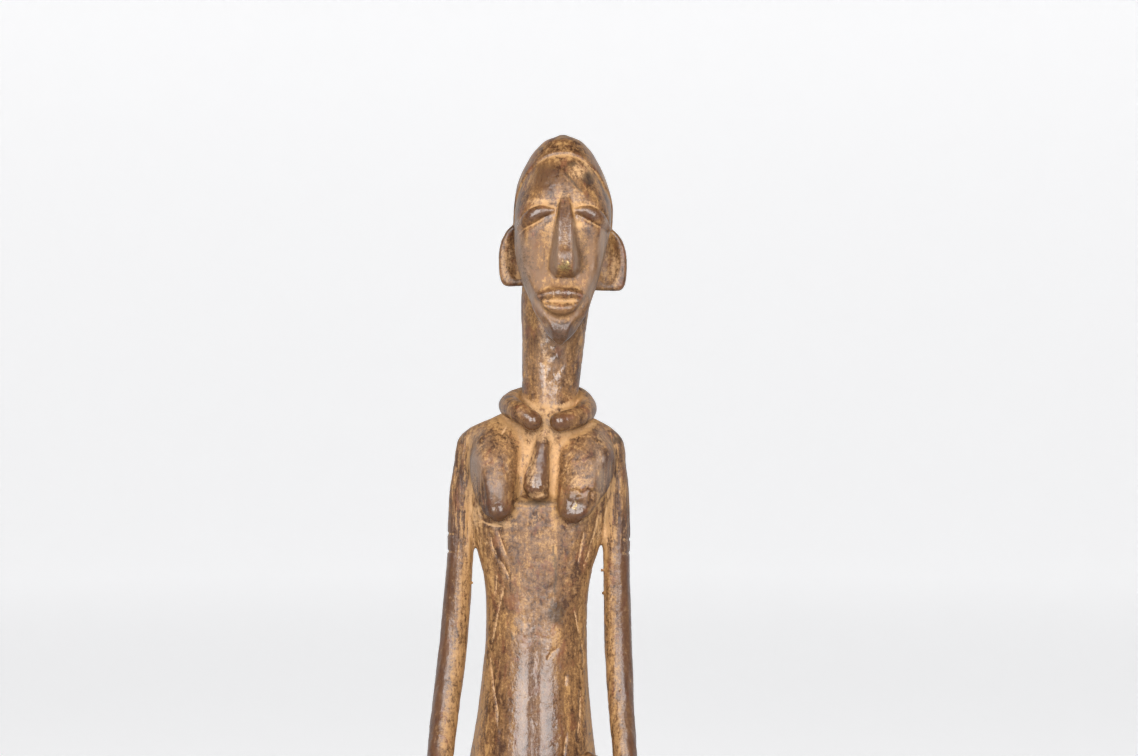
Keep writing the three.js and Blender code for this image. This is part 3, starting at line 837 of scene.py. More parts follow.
# %% [markdown]
# ## Hand and tool marks
#
# Wax worked by hand is never even. Broad soft waves come from the fingers, smaller dents from the
# clay mould, and pits from gas in the metal. All of them are smooth noise at different sizes:
# random numbers on a lattice, blended between its corners. The seed is fixed, so every run is the
# same.


# %% Smooth noise
LATTICE = 32  # points along each side, before the noise repeats


def ripple(where, size, seed):
    """Smooth noise from -1 to 1 with bumps of about this size in millimetres."""
    table = np.random.default_rng(seed).uniform(-1, 1, (LATTICE,) * 3).astype(np.float32)
    place = where / size + 100
    base = np.floor(place).astype(int)
    part = (place - base).astype(np.float32)
    part = part * part * (3 - 2 * part)
    return blended(part, lambda corner: table[tuple(((base + corner) % LATTICE).T)])


def ramp(value, start, stop):
    """0 below start, 1 above stop, and smooth between."""
    part = np.clip((value - start) / (stop - start), 0, 1)
    return part * part * (3 - 2 * part)


def band(value, start, full, fading, stop):
    """1 from full to fading, 0 below start and above stop, and smooth between."""
    return ramp(value, start, full) * (1 - ramp(value, fading, stop))


noise = ripple(points[::90], 3, 0)
print("noise runs from", noise.min().round(2), "to", noise.max().round(2))

# %% [markdown]
# ## Scratched lines
#
# The flanks and shoulders carry long thin lines that were drawn in the wax, mostly down the body.
# Each is a chain of points in (x, height) as seen from the front, cut into whatever faces that way.
# A line is about two millimetres wide and thins out at its ends, and the earth in it is the palest
# colour on the figure.

# %% Draw the lines
LINES = [
    # her right shoulder and flank
    [(-28.3, 306.8), (-29.3, 298), (-29, 290.5)],
    [(-26.1, 298), (-25.2, 291.8), (-23.3, 288)],
    [(-13.9, 330), (-11.4, 333.8)],
    [(-19.9, 281.7), (-18.3, 274.8), (-15.8, 269.1)],
    [(-15.8, 282.3), (-13.9, 276.7), (-11.4, 270.4)],
    [(-24.6, 287.4), (-20.2, 285.5), (-13.9, 284.8)],
    [(-15.6, 268.4), (-12.6, 265.6), (-10.1, 259.4)],
    [(-12.2, 255.9), (-14.2, 248), (-15.6, 242), (-18.7, 224.8)],
    [(-16.2, 262), (-16.8, 250)],
    [(-19.4, 219.2), (-18, 206.8), (-15.6, 194), (-15.4, 186)],
    # her left shoulder and flank
    [(40.1, 308), (38.2, 298)],
    [(38.9, 298), (37, 288), (37.6, 279.2)],
    [(34.2, 290.5), (32.3, 282.3), (29.4, 273.5)],
    [(26.9, 281.7), (25.7, 275.4), (23.8, 265.6)],
    [(30.2, 276), (28.8, 270), (26.6, 264.9)],
    [(21.8, 244.1), (23, 239), (24.4, 229.6)],
    [(25.2, 229.6), (26.8, 219.2), (26.4, 214)],
    [(25.2, 203.3), (24.9, 192.9), (23.5, 179.1)],
    [(18.3, 213), (17.6, 206.1)],
    [(18.3, 183.2), (16.9, 172.2)],
    # a slip of the tool over the belly
    [(9, 219.2), (11, 222.8), (14.2, 225)],
]


def drawn(where, faces, lines, half_width, taper=0.65):
    """How deep in a line each point lies, seen from the front: 0 outside, 1 in its middle."""
    seen = where[:, [0, 2]]
    deep = np.zeros(len(where))
    front = ramp(-faces[:, 1], 0.1, 0.3)
    spread = half_width * 2
    for line in lines:
        line = np.array(line, float)
        inside = (seen > line.min(0) - spread) & (seen < line.max(0) + spread)
        near = np.flatnonzero(inside.all(1) & (front > 0))
        spot = seen[near]
        count = len(line) - 1
        for i, (start, stop) in enumerate(zip(line[:-1], line[1:])):
            along = stop - start
            share = np.clip((spot - start) @ along / (along @ along), 0, 1)
            away = np.linalg.norm(spot - start - share[:, None] * along, axis=1)
            middle = 1 - np.abs((share + i) / count * 2 - 1)
            half = half_width * (1 - taper * (1 - ramp(middle, 0, 0.5)))
            deep[near] = np.maximum(deep[near], 1 - ramp(away / half, 0.3, 1))
    return deep * front


print("there are", len(LINES), "lines")

# %% [markdown]
# ## All the marks together
#
# The marks share one function, because the colour needs to know about them as well: the drawn
# lines, rough vertical streaks on the shoulders where the wax was combed, shallow flakes that came
# off the breasts, trunk and neck, and pits. The roughest places are there and round the mouth. Her
# left breast has an old chip with a straight edge, and a shallow groove runs down her belly.


# %% Work out the marks
CHEST_X = 5  # mm, the middle of the chest


def marks(where, faces):
    """How far the surface is pushed out, and how strong the lines, streaks and flakes are."""
    x, y, z = where.T
    side = np.abs(x - CHEST_X)
    front = -faces[:, 1]
    arms = band(z, 262, 276, 326, 334) * ramp(side, 25, 30)
    flanks = band(z, 150, 180, 262, 280) * ramp(side, 15, 21)
    combing = ramp(ripple(where * (1, 1, 0.1), 2.3, 12), -0.2, 0.2)
    streak = np.maximum(arms, 0.4 * flanks) * combing
    trunk = band(z, 215, 272, 322, 332) * (1 - ramp(side, 26, 31))
    neck = band(z, 344, 350, 398, 404) * ramp(y, -2, 2)
    from_mouth = np.hypot((x - MOUTH_X) / 13, (z - 395) / 8)
    mouth = (1 - ramp(from_mouth, 0.6, 1.1)) * ramp(front, 0.2, 0.5)
    rough = 0.4 + 0.4 * np.maximum(np.maximum(trunk, neck), mouth)
    chip_top = z + 1.1 * ripple(where, 2.6, 17)
    chip = band(x, 15, 18, 31, 34) * ramp(z, 291, 299) * (1 - ramp(chip_top, 302.9, 303.7))
    chip = chip * ramp(front, 0.2, 0.5)
    loose = ripple(where * (1, 1, 0.6), 2.4, 11) + 0.5 * ripple(where, 9, 13)
    flake = np.maximum(trunk, neck) * ramp(loose, 0.38, 0.5)
    line = drawn(where, faces, LINES, 0.85)
    hand_wave = 0.16 * ripple(where * (1, 1, 0.5), 10, 1)
    wave = hand_wave + rough * 0.12 * ripple(where * (1, 1, 0.6), 4, 2)
    dent = rough * (0.1 * ripple(where, 2.6, 3) + 0.12 * ripple(where, 1.1, 4))
    pit = rough * ramp(ripple(where, 1.3, 5) + 0.35 * ripple(where, 7, 6), 0.5, 0.8)
    calm = 0.35 + 0.65 * ramp(z, 4, 14)
    groove = 1 - ramp(np.abs(x - 2.6 - 0.8 * ripple(where, 14, 16)), 0, 3.4)
    groove = groove * band(z, 150, 165, 215, 236) * ramp(front, 0.7, 0.9)
    push = (wave + dent - 0.3 * pit) * calm - 0.5 * line - 0.5 * streak - 0.18 * flake
    push = push - chip * (1.1 + 0.8 * ripple(where, 2.2, 15)) - 0.2 * groove
    return push, line, streak, flake


faces = facing(points)
push = marks(points, faces)[0]
points += faces * push[:, None]
print("the marks move the skin by up to", np.abs(push).max().round(2), "mm")

# %% [markdown]
# ## One piece of metal
#
# The skin now has far more points than it needs. Blender's Decimate takes most of them away where
# the surface is calm, and a vertex group makes it spare the head first and the chest next. It runs
# while the mesh is still in millimetres, because the group's pull is a length.

# %% Make the mesh and thin it out
FACE_BUDGET = 196_000


def mesh_from(points, triangles, quads, name):
    mesh = bpy.data.meshes.new(name)
    corners = np.concatenate([triangles.ravel(), quads.ravel()]).astype(np.int32)
    sizes = np.concatenate([np.full(len(triangles), 3), np.full(len(quads), 4)])
    starts = np.concatenate([[0], np.cumsum(sizes)[:-1]]).astype(np.int32)
    mesh.vertices.add(len(points))
    mesh.vertices.foreach_set("co", points.astype(np.float32).ravel())
    mesh.loops.add(len(corners))
    mesh.loops.foreach_set("vertex_index", corners)
    mesh.polygons.add(len(sizes))
    mesh.polygons.foreach_set("loop_start", starts)
    mesh.update(calc_edges=True)
    mesh.validate()
    return mesh


def placed(name, data):
    """An object that shows the data, in the scene."""
    thing = bpy.data.objects.new(name, data)
    bpy.context.scene.collection.objects.link(thing)
    return thing


figure = placed("cast_figure", mesh_from(points, triangles, quads, "cast_figure"))
bpy.context.view_layer.objects.active = figure
figure.select_set(True)

group = figure.vertex_groups.new(name="calm")
height = points[:, 2]
calm = 1 - 0.57 * ramp(height, 150, 185) - 0.38 * ramp(height, 365, 380)
LEVELS = 20
for level in np.linspace(0, 1, LEVELS + 1):
    chosen = np.flatnonzero(np.abs(calm - level) <= 1 / (2 * LEVELS))
    group.add(chosen.tolist(), float(level), "REPLACE")

thin = figure.modifiers.new("thin", "DECIMATE")
thin.ratio = FACE_BUDGET / (2 * len(quads) + len(triangles))
thin.vertex_group = "calm"
thin.vertex_group_factor = 0.7
bpy.ops.object.modifier_apply(modifier="thin")
figure.vertex_groups.clear()

where = np.empty(3 * len(figure.data.vertices), np.float32)
figure.data.vertices.foreach_get("co", where)
where = where.reshape(-1, 3)
figure.data.vertices.foreach_set("co", (where * mm + foot).astype(np.float32).ravel())
figure.data.update()
figure.data.shade_smooth()
figure.data.calc_loop_triangles()
print("the piece has", len(figure.data.loop_triangles), "triangles")

# %% [markdown]
# ## Where earth lies and where hands have polished
#
# Dust and earth stay in the hollows, and what stands out is handled and rubbed dark and smooth. The
# block of distances tells the two apart: around a point in a hollow the distances are smaller than
# around one on a ridge. The mean over a small box round each point gives one number, and two box
# sizes find both fine creases and broad hollows. The numbers are kept on the mesh as attributes.


# %% Measure hollows and ridges
def mean_distance(span):
    """The mean distance in boxes of about this many millimetres, as a block of its own."""
    step = 2
    coarse = wax.distance[::step, ::step, ::step]
    reach = max(1, round(span / GRAIN / step / 2))
    for axis in range(3):
        total = np.cumsum(coarse, axis=axis, dtype=np.float64)
        total = np.concatenate([np.zeros_like(total.take([0], axis)), total], axis)
        length = coarse.shape[axis]
        top = np.minimum(np.arange(length) + reach + 1, length)
        bottom = np.maximum(np.arange(length) - reach, 0)
        shape = [1, 1, 1]
        shape[axis] = length
        coarse = (total.take(top, axis) - total.take(bottom, axis)) / (top - bottom).reshape(shape)
    softened = Wax(((0, 0, 0), (1, 1, 1)), GRAIN * step)
    softened.first = wax.first / step
    softened.distance = coarse.astype(np.float32)
    softened.count = np.array(coarse.shape)
    return softened


faces = facing(where)
own = wax.at(where)
fine_hollow = (own - mean_distance(3).at(where)) / 0.35
broad_hollow = (own - mean_distance(8).at(where)) / 1.1
print("hollows run from", fine_hollow.min().round(2), "to", fine_hollow.max().round(2))

# %% [markdown]
# ## Places with a colour of their own, and painted sheen and shadow
#
# Some places are not explained by hollows alone: the pale band round the drop, dark spots of
# oxide, the polished ends of the neck ring, dull cheeks, bare metal on the nose. Two kinds are
# painted light: grey planes of painted sheen on the face, breasts, shoulders and neck, and a
# painted shadow under the chest shelf. Each is a soft oval as seen from the front, as (x, height,
# half width, half height), some with a strength of their own, or a drawn line. The material breaks
# up their edges.

# %% List the places
PALE = [
    (25.5, 459, 6, 5), (5.5, 443.6, 8, 1.5), (26.5, 442.6, 6, 1.5), (15.8, 446.5, 4, 2.2),
    (9, 432, 3.6, 1.8), (26, 432, 3.6, 1.8), (17.6, 405.4, 5, 1.6, 0.4), (15.8, 386.6, 5, 1, 0.4),
    (15.8, 395.2, 8, 1, 0.5), (17, 428, 1.6, 4, 0.5), (-11.5, 417, 3, 12), (42.5, 412, 2.6, 10),
    (0.6, 317, 3.6, 13), (12, 317, 3.4, 13), (7, 329.4, 9, 3.4), (4, 301, 6, 2),
    (-12, 285.6, 9, 1.8), (-26.6, 288, 2.6, 6), (24.5, 307.5, 6, 4), (26, 316, 4, 6, 0.5),
    (-0.6, 249, 2.4, 5, 0.6), (35.6, 279, 3, 4, 0.7),
]
PALE_LINES = [
    [(-14.6, 340.8), (-8, 335.6), (-2.5, 330.8), (4, 328)],
    [(-3.8, 348.3), (1, 344.6), (5.6, 341), (9.4, 341.6), (16, 344.6), (24.6, 346)],
    [(10, 329.5), (16.3, 330.2), (24, 332.6), (32, 335.4)],
    [(7.9, 341), (7.9, 329)],
    [(6.6, 384), (7.4, 372), (8.6, 362)],
]
# Dark spots of oxide, and one painted shadow: the long oval at (4, 296.4) is a painted shadow under
# the edge of the chest shelf.
DARK = [
    (20.7, 462.4, 2.6, 1.7), (29, 455.4, 3.2, 3.6), (13, 242, 4.4, 6), (4, 296.4, 10, 1.6),
    (15.6, 381, 7.6, 6, 0.6), (-1.4, 414, 4.4, 14, 0.6), (26.6, 418, 3, 13, 0.6),
    (5, 437, 6, 2, 0.4), (28.8, 437, 6, 2, 0.4), (9, 457, 8, 7, 0.5), (-16, 296, 6, 8, 0.5),
    (22, 297, 6, 6, 0.6), (43.5, 327, 3, 2),
]
DARK_LINES = [
    [(17.4, 457.6), (21, 453.6), (25.6, 448.4)],
    [(11.4, 275), (12.8, 266), (12.6, 256), (11.4, 247.5)],
    [(-9.2, 231.8), (-7.4, 228.2)],
]
RUBBED = [
    (9, 455, 8, 8, 0.9), (17.6, 428, 2.8, 16, 0.7), (5, 437.4, 7, 2.4, 0.8),
    (28.8, 437, 7, 2.4, 0.8), (15.4, 380, 7.5, 5), (3, 188, 14, 44, 0.8),
    (15.8, 399.4, 8, 1.6, 0.5), (15.8, 390.4, 5.5, 1.4, 0.5), (1.6, 336.4, 5, 4.4, 0.5),
    (15, 336, 5, 4.4, 0.5), (-27.4, 311, 3.6, 15), (39.2, 311, 3.8, 14), (-15.8, 293, 6, 6),
    (-17, 306, 8, 10, 0.6), (21.8, 293, 6, 8), (3.6, 308, 5, 6.5, 0.7), (5.4, 318, 2.8, 9),
]
# Painted sheen: grey-brown laid on the face's bevels, the sides of the nose, the breasts' outer
# flats, the shoulders and the neck, where the white backdrop would show as a grey reflection.
PAINTED_SHEEN_SPOTS = [
    (-26.4, 314, 3.4, 11), (35.8, 314, 3.8, 11), (-25, 328, 6, 6, 0.6), (36, 327, 7, 7, 0.7),
    (11, 366, 9, 18, 0.4),
]
PAINTED_SHEEN_LINES = [
    [(-5, 434), (-3.2, 418), (-0.2, 402), (6.8, 389)],
    [(37, 434), (34.4, 418), (30.2, 402), (23.6, 389)],
    [(12, 408), (12, 414), (13, 424), (14.4, 434)],
    [(23.2, 408), (23.2, 414), (22.4, 424), (21, 434)],
]
SHINY = [
    (3, 190, 13, 46, 0.85), (17.6, 424, 3, 18, 0.5), (5, 437.4, 7, 2.4, 0.7),
    (28.8, 437, 7, 2.4, 0.7), (15.8, 399.4, 8, 1.8, 0.7), (15.8, 390.4, 6, 1.6, 0.7),
    (12, 366, 7, 18, 0.95), (9, 456, 10, 8, 0.4), (-15.6, 291, 5, 6), (22, 292, 5, 6, 0.9),
    (3.6, 305, 4, 4, 0.9), (1.6, 336.4, 5, 4.4, 0.9), (15, 336, 5, 4.4, 0.9), (4, 240, 14, 16, 0.5),
]
DULL = [
    (4, 268, 24, 28, 0.6), (4, 413, 9, 17), (29.6, 413, 9, 17), (16, 388, 12, 3.5),
    (16.4, 404, 9, 4), (15, 455, 20, 12, 0.3), (-17, 318, 13, 11, 0.5), (27, 318, 14, 11, 0.5),
]
BRASS = [(17.6, 411.6, 3.2, 3.2), (22.6, 296, 2.4, 2.6, 0.6)]


# %% Keep the places on the mesh
height = where[:, 2]


def spots(ovals_seen):
    """1 inside any of the ovals on what faces the front, fading to 0 round them.

    An oval may end with a strength of its own."""
    most = np.zeros(len(where))
    for x, z, wide, tall, *strength in ovals_seen:
        away = np.hypot((where[:, 0] - x) / wide, (where[:, 2] - z) / tall)
        most = np.maximum(most, (1 - ramp(away, 0.5, 1.5)) * (strength[0] if strength else 1))
    return most * ramp(-faces[:, 1], -0.1, 0.25)


def turned_in(arm):
    """Near an arm, how much the surface faces the body, and how near it is."""
    x, y, z, _ = np.array(arm[::-1]).T
    away = np.hypot(where[:, 0] - np.interp(height, z, x), where[:, 1] - np.interp(height, z, y))
    near = (1 - ramp(away, 8.8, 10)) * band(height, 112, 122, 282, 300)
    return near * ramp(faces[:, 0] * -np.sign(arm[3][0]), -0.5, 0.4), near


def keep(name, values):
    """Stores one number per point on the mesh, for the material to read."""
    attribute = figure.data.attributes.new(name, "FLOAT", "POINT")
    attribute.data.foreach_set("value", np.clip(values, 0, 1).astype(np.float32))


_, line, streak, flake = marks(where, faces)
right_in, right_near = turned_in(RIGHT_ARM)
left_in, left_near = turned_in(LEFT_ARM)
arm_near = np.maximum(right_near, left_near)
arm_in = np.maximum(right_in, 0.8 * left_in)
# Earth colour where the flanks turn sideways, so they are lighter tan along their outline seen from
# the front.
flank = ramp(np.abs(faces[:, 0]), 0.6, 0.95) * band(height, 110, 140, 275, 290)
pale_seen = np.maximum(spots(PALE), drawn(where, faces, PALE_LINES, 2.4, 0.3))
keep("line", np.maximum(line, 0.5 * streak))
keep("hollow", ramp(fine_hollow + broad_hollow, 0.05, 0.9))
keep("ridge", ramp(-fine_hollow - 0.6 * broad_hollow, 0.15, 1.2))
# Earth colour on what faces up from the shoulders upward and on a band round the neck ring, so
# these come out lighter tan.
tan_facing_up_and_at_ring = 0.5 * ramp(faces[:, 2], 0.15, 0.7) * ramp(height, 318, 330)
tan_facing_up_and_at_ring += 0.35 * band(height, 331, 335, 351, 356)
keep("earthy", np.maximum(arm_in, 0.85 * flank * (1 - arm_near)) + 0.4 * streak + tan_facing_up_and_at_ring)
keep("dull", spots(DULL))
keep("combed", ramp(np.abs(where[:, 0] - CHEST_X), 24, 30) * band(height, 262, 280, 328, 336))
keep("pale", np.maximum(pale_seen, 0.6 * flake))
# Dark spots of oxide, with the painted shadow under the chest shelf.
keep("dark", np.maximum(spots(DARK), drawn(where, faces, DARK_LINES, 1.2, 0.3)))
keep("rubbed", np.maximum(spots(RUBBED), 0.9 * arm_near * (1 - arm_in)))
# Where grey sheen is painted on.
keep("painted_sheen", np.maximum(spots(PAINTED_SHEEN_SPOTS), drawn(where, faces, PAINTED_SHEEN_LINES, 3, 0.3)))
keep("brass", spots(BRASS))
keep("shiny", np.maximum(spots(SHINY), 0.2 * arm_near * (1 - arm_in)))
print("kept", len(figure.data.attributes), "attributes on the mesh")

# %% [markdown]
# ## Shader sums as Python
#
# A material's maths is easier to read as an expression than as a web of boxes. This small class
# wraps a socket, so that a + b or 1 - mask adds the Math node and returns its result. Colours are
# blended with Mix nodes, because a Math node would turn them grey.


# %% A socket with arithmetic
class Value:
    def __init__(self, tree, socket=None):
        self.tree = tree
        self.socket = socket

    def node(self, kind, settings=None, inputs=None, out=0):
        """Adds a node with its settings, then the values or links of its inputs.

        Inputs and the output that comes back go by their names or their places."""
        node = self.tree.nodes.new(kind)
        for name, value in (settings or {}).items():
            setattr(node, name, value)
        for name, value in (inputs or {}).items():
            if isinstance(value, Value):
                self.tree.links.new(value.socket, node.inputs[name])
            else:
                node.inputs[name].default_value = value
        return Value(self.tree, node.outputs[out] if node.outputs else None)

    def math(self, operation, first, second):
        return self.node("ShaderNodeMath", {"operation": operation}, {0: first, 1: second})

    def __add__(self, other):
        return self.math("ADD", self, other)

    def __sub__(self, other):
        return self.math("SUBTRACT", self, other)

    def __rsub__(self, other):
        return self.math("SUBTRACT", other, self)

    def __mul__(self, other):
        return self.math("MULTIPLY", self, other)

    __radd__ = __add__
    __rmul__ = __mul__

    def ramped(self, start, stop):
        """0 at start and 1 at stop, smooth between. start may be the larger."""
        settings = {"interpolation_type": "SMOOTHSTEP"}
        return self.node("ShaderNodeMapRange", settings, {0: self, 1: start, 2: stop})

    def noise(self, size, detail=3.0, rough=0.55, warp=0.0):
        """Noise from 0 to 1 on this position, with bumps of about size millimetres."""
        look = {"Vector": self, "Scale": 1 / (size * mm), "Detail": detail}
        look.update({"Roughness": rough, "Distortion": warp})
        return self.node("ShaderNodeTexNoise", {}, look, "Fac")

    def stretched(self, scale):
        return self.node("ShaderNodeVectorMath", {"operation": "MULTIPLY"}, {0: self, 1: scale})

    def plain(self, colour):
        """A colour for others to be laid over."""
        value = self.node("ShaderNodeRGB")
        value.socket.default_value = colour
        return value

    def tinted(self, colour, amount):
        """This colour, covered by another where amount is 1."""
        inputs = {0: amount, 6: self, 7: colour}
        return self.node("ShaderNodeMix", {"data_type": "RGBA"}, inputs, 2)


def paint(red, green, blue):
    """A colour as it is seen on a screen, from 0 to 255, in Blender's linear values."""
    seen = np.array([red, green, blue]) / 255
    linear = np.where(seen <= 0.04045, seen / 12.92, ((seen + 0.055) / 1.055) ** 2.4)
    return (*linear.tolist(), 1.0)


print("mid grey is", round(paint(128, 128, 128)[0], 3), "in linear values")

# %% [markdown]
# ## The patina
#
# Old copper alloy here is not shiny like a new coin. A skin of brown oxide covers it, darker and
# smoother on what is touched, with ochre earth dried into the hollows and lines. The shader lays
# these over each other: mottled brown skin with a blush of rust, polished places, earth with combed
# dark stripes, a dull brown film on cheeks and trunk, grey-brown planes of painted sheen, pale
# fresh earth, black oxide and pits with a painted shadow under the chest shelf, and last the few
# places that are worn to bare metal.

# %% Mix the patina
material = bpy.data.materials.new("patinated_bronze")
material.use_nodes = True
tree = material.node_tree
tree.nodes.clear()
start = Value(tree)
place = start.node("ShaderNodeTexCoord", out="Object")


def stored(name):
    return start.node("ShaderNodeAttribute", {"attribute_name": name}, {}, "Fac")


hollow, ridge, line = stored("hollow"), stored("ridge"), stored("line")
pale, dark, brass = stored("pale"), stored("dark"), stored("brass")
earthy, touched, shiny = stored("earthy"), stored("rubbed"), stored("shiny")
combed, dull, painted_sheen = stored("combed"), stored("dull"), stored("painted_sheen")

cloud = place.stretched((1, 1, 0.5)).noise(9, 6, 0.62, 0.3)
blush = place.stretched((1, 1, 0.7)).noise(6, 5, 0.6, 0.6)
strand = place.stretched((1, 1, 0.13)).noise(4.5, 5, 0.6, 0.2)
mottle = place.stretched((1, 1, 0.65)).noise(3.4, 7, 0.72, 0.5)
speck = place.noise(1.3, 6, 0.75)
hair = place.stretched((1, 1, 0.1)).noise(1.5, 5, 0.65)
grain = place.noise(0.5, 4, 0.7)

DARK_BROWN = paint(70, 43, 25)
BROWN = paint(124, 88, 54)
OCHRE = paint(178, 134, 82)
RUST = paint(120, 68, 44)
POLISHED = paint(84, 56, 42)
EARTH = paint(182, 139, 89)
PALE_EARTH = paint(202, 160, 114)
# The black of oxide, also used for the painted shadow under the chest shelf.
OXIDE_AND_SHADOW_BLACK = paint(52, 40, 30)
METAL = paint(186, 160, 108)
# Painted sheen: the grey of the white backdrop's reflection, laid on as colour.
PAINTED_SHEEN_GREY = paint(140, 118, 102)

skin_tone = start.plain(BROWN)
tone = mottle * 1.3 + cloud * 1.2 + strand * 1.1 + speck * 1.5 + hair * 0.5 + grain * 0.6 - 3.1
handled = touched * 0.85 + ridge * 0.4 - dull * 0.4
worn = (handled + (cloud - 0.5) * 0.9 + (mottle - 0.5) * 2.2).ramped(0.25, 0.95)
comb = combed * (hair - 0.5)
uneven = (mottle - 0.5) * 2.5 + (speck - 0.5) * 2.2 + (hair - 0.5) * 1.4
lying = hollow * (1 - 0.5 * dull) + earthy * 0.8 + comb * 5
settled = lying - ridge * 0.3 - shiny * 1.3 - painted_sheen * 0.4
earth = (settled + uneven + 0.1).ramped(0.2, 1.2)
newest = line + pale * 0.8 + hollow * 0.2
fresh = (newest + (speck - 0.5) * 2 + (mottle - 0.5) * 1.6).ramped(0.35, 1.35)
# Oxide spots, and the painted shadow under the chest shelf, which comes in through dark.
oxide_and_shadow = (dark * 0.9 + (grain - 0.5) * 1.6 + (speck - 0.5) * 2.6).ramped(0.35, 0.9)
pit_dark = speck.ramped(0.6, 0.72) * (1 - fresh)
bare = (brass * 0.9 + (speck - 0.5) * 3 + (mottle - 0.5)).ramped(0.5, 1.1)

colour = (
    skin_tone.tinted(DARK_BROWN, tone.ramped(0.04, -0.34))
    .tinted(OCHRE, tone.ramped(0.04, 0.4))
    .tinted(RUST, blush.ramped(0.52, 0.68) * 0.55)
    .tinted(POLISHED, worn * 0.75)
    .tinted(EARTH, earth * 0.8)
    .tinted(DARK_BROWN, comb.ramped(-0.03, -0.12) * 0.8)
    .tinted(BROWN, dull.ramped(0.6, 1.0) * mottle.ramped(0.64, 0.44) * 0.85)
    # painted sheen on the bevels, nose sides, breast flats, shoulders and neck
    .tinted(PAINTED_SHEEN_GREY, painted_sheen * cloud.ramped(0.3, 0.6) * 0.8)
    .tinted(PALE_EARTH, fresh * 0.95)
    # black oxide, and the painted shadow under the chest shelf
    .tinted(OXIDE_AND_SHADOW_BLACK, oxide_and_shadow * 0.7)
    .tinted(DARK_BROWN, pit_dark * 0.6)
    .tinted(METAL, bare)
)
rough = 0.4 - 0.06 * worn + 0.2 * earth + 0.3 * fresh + 0.2 * dull + (speck - 0.5) * 0.2
roughness = rough * (1 - 0.55 * shiny) * (1 - 0.3 * painted_sheen)
dimple = place.stretched((1, 1, 0.7)).noise(2.2, 1.5, 0.5)
fine = place.noise(0.9, 1, 0.5)
height = dimple * 0.4 + fine * 0.16 + comb * 1.2 - fresh * 0.08 - pit_dark * 0.1
calmed = height * (1 - 0.6 * shiny.ramped(0.5, 0.9))
relief = {"Strength": 1.0, "Distance": 0.5 * mm, "Height": calmed}
skin_inputs = {
    "Base Color": colour,
    "Roughness": roughness,
    "Metallic": bare,
    "Normal": start.node("ShaderNodeBump", {}, relief),
    "IOR": 1.56,
}
shader = start.node("ShaderNodeBsdfPrincipled", {}, skin_inputs)
start.node("ShaderNodeOutputMaterial", {}, {"Surface": shader})
figure.data.materials.append(material)
print("the patina has", len(tree.nodes), "nodes")

# %% [markdown]
# ## Join the skin to the measured solid
#
# The mesh replaces the plain solid in the picture and rides on the same body. The solid stays for
# weight and contact.

# %% Say what the piece stands for
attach(figure, "root")
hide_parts("maternity_figure")
print("cast_figure replaces maternity_figure")

# %% [markdown]
# ## Studio
#
# The figure stands in a plain cove: a floor that curves up into a wall all round, so there is no
# horizon from any side. Behind the figure it is white and lit from within, which puts a pale sheen
# on every edge that turns away. Round the camera it is grey, so the front keeps its contrast. Two
# large soft lights stand left and right of the camera, and their reflections are the two bright
# bands down the belly.


# %% Build the cove
def cove(radius=3.2, bend=1.2, wall=2.4, sides=96):
    turn = np.linspace(0, math.pi / 2, 14)
    profile = [(radius * share, 0) for share in np.linspace(0.02, 1, 8)]
    profile += [(radius + bend * math.sin(a), bend * (1 - math.cos(a))) for a in turn[1:]]
    profile += [(radius + bend, bend + wall * share) for share in (0.5, 1)]
    mesh = bpy.data.meshes.new("cove")
    spin = np.arange(sides) / sides * 2 * math.pi
    points = [(r * math.cos(a), r * math.sin(a), z) for r, z in profile for a in spin]
    quads = []
    for row in range(len(profile) - 1):
        for i in range(sides):
            here = row * sides + i
            after = row * sides + (i + 1) % sides
            quads.append((here, after, after + sides, here + sides))
    mesh.from_pydata(points, [], [*quads, tuple(range(sides))[::-1]])
    mesh.shade_smooth()
    return mesh


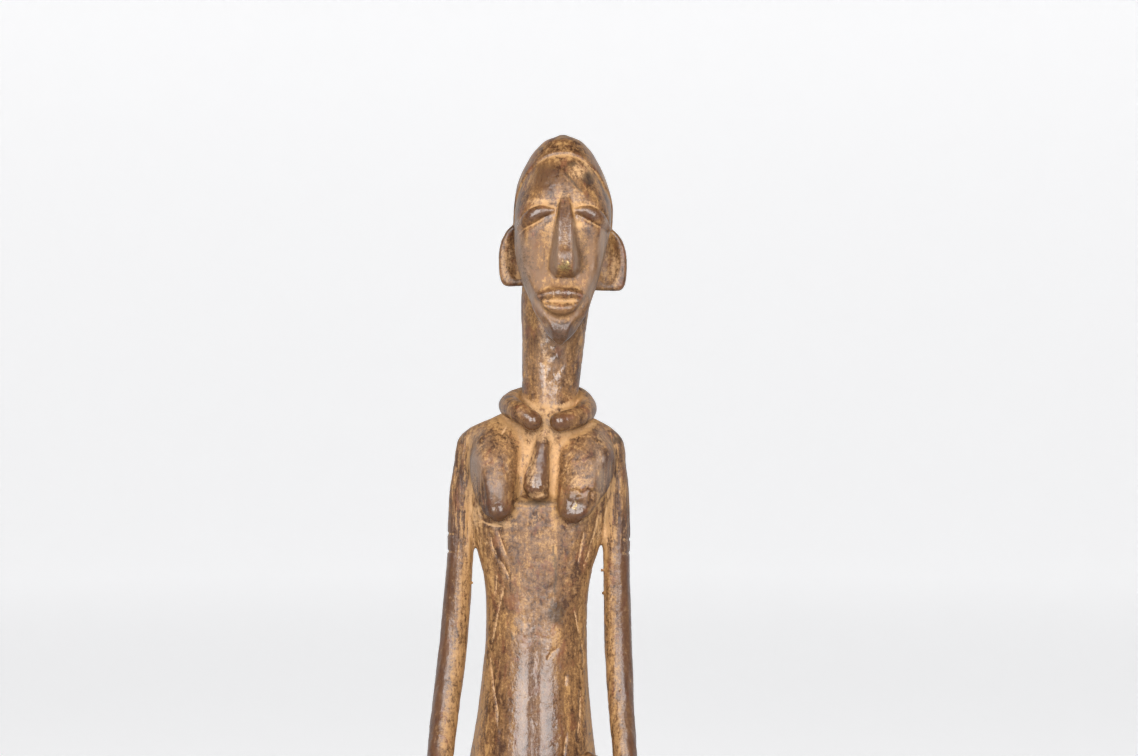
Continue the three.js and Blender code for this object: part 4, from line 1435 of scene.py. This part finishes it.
white = bpy.data.materials.new("cove_white")
white.use_nodes = True
white.node_tree.nodes.clear()
studio = Value(white.node_tree)
spot = studio.node("ShaderNodeTexCoord", out="Object")
behind = studio.node("ShaderNodeSeparateXYZ", {}, {"Vector": spot}, "Y").ramped(-0.4, 1)
wall = {
    "Base Color": studio.plain((0.26, 0.26, 0.26, 1)).tinted((0.88, 0.88, 0.885, 1), behind),
    "Emission Color": studio.plain((0.05, 0.05, 0.05, 1)).tinted((0.45, 0.45, 0.454, 1), behind),
    "Emission Strength": 1,
    "Roughness": 0.9,
    "Specular IOR Level": 0.1,
}
shader = studio.node("ShaderNodeBsdfPrincipled", {}, wall)
studio.node("ShaderNodeOutputMaterial", {}, {"Surface": shader})
backdrop = placed("cove", cove())
backdrop.location.z = low[2]
backdrop.data.materials.append(white)
print("the cove is built")

# %% [markdown]
# ## Light and camera
#
# The camera looks level from just over a metre, as the photograph's did, so that half a millimetre
# of the figure is one pixel. A long lens keeps the head and arms from spreading.

# %% Place the lights and the camera
CAMERA = np.array([19.5, -1180, 358]) * mm + foot
VIEW_WIDTH = 569 * mm  # metres across the picture at the body's depth
BODY_Y = 20 * mm
SENSOR = 36


def softbox(name, turn, power, lift=17, distance=1.7, wide=0.8, tall=1.25):
    """A soft light that looks at the chest from so many degrees round and up."""
    light = bpy.data.lights.new(name, "AREA")
    light.shape = "RECTANGLE"
    light.size, light.size_y = wide, tall
    light.energy = power
    lamp = placed(name, light)
    turn, lift = math.radians(turn), math.radians(lift)
    aim = np.array([CHEST_X * mm, BODY_Y, 330 * mm])
    level = np.array([math.sin(turn), -math.cos(turn), 0]) * math.cos(lift)
    lamp.location = aim + distance * (level + math.sin(lift) * Z)
    lamp.rotation_euler = (math.pi / 2 - lift, 0, turn)
    lamp.visible_camera = False


softbox("left_softbox", -19, 28)
softbox("right_softbox", 19, 26)

world = bpy.data.worlds.new("studio")
bpy.context.scene.world = world
world.use_nodes = True
background = world.node_tree.nodes["Background"]
background.inputs["Color"].default_value = (1, 1, 1, 1)
background.inputs["Strength"].default_value = 0.05

lens = bpy.data.cameras.new("camera")
lens.sensor_width = SENSOR
lens.lens = SENSOR * (BODY_Y - CAMERA[1]) / VIEW_WIDTH
camera = placed("camera", lens)
camera.location = CAMERA
camera.rotation_euler = (math.pi / 2, 0, 0)
bpy.context.scene.camera = camera
bpy.context.scene.view_settings.view_transform = "Standard"
print("the lens is", round(lens.lens, 1), "mm")
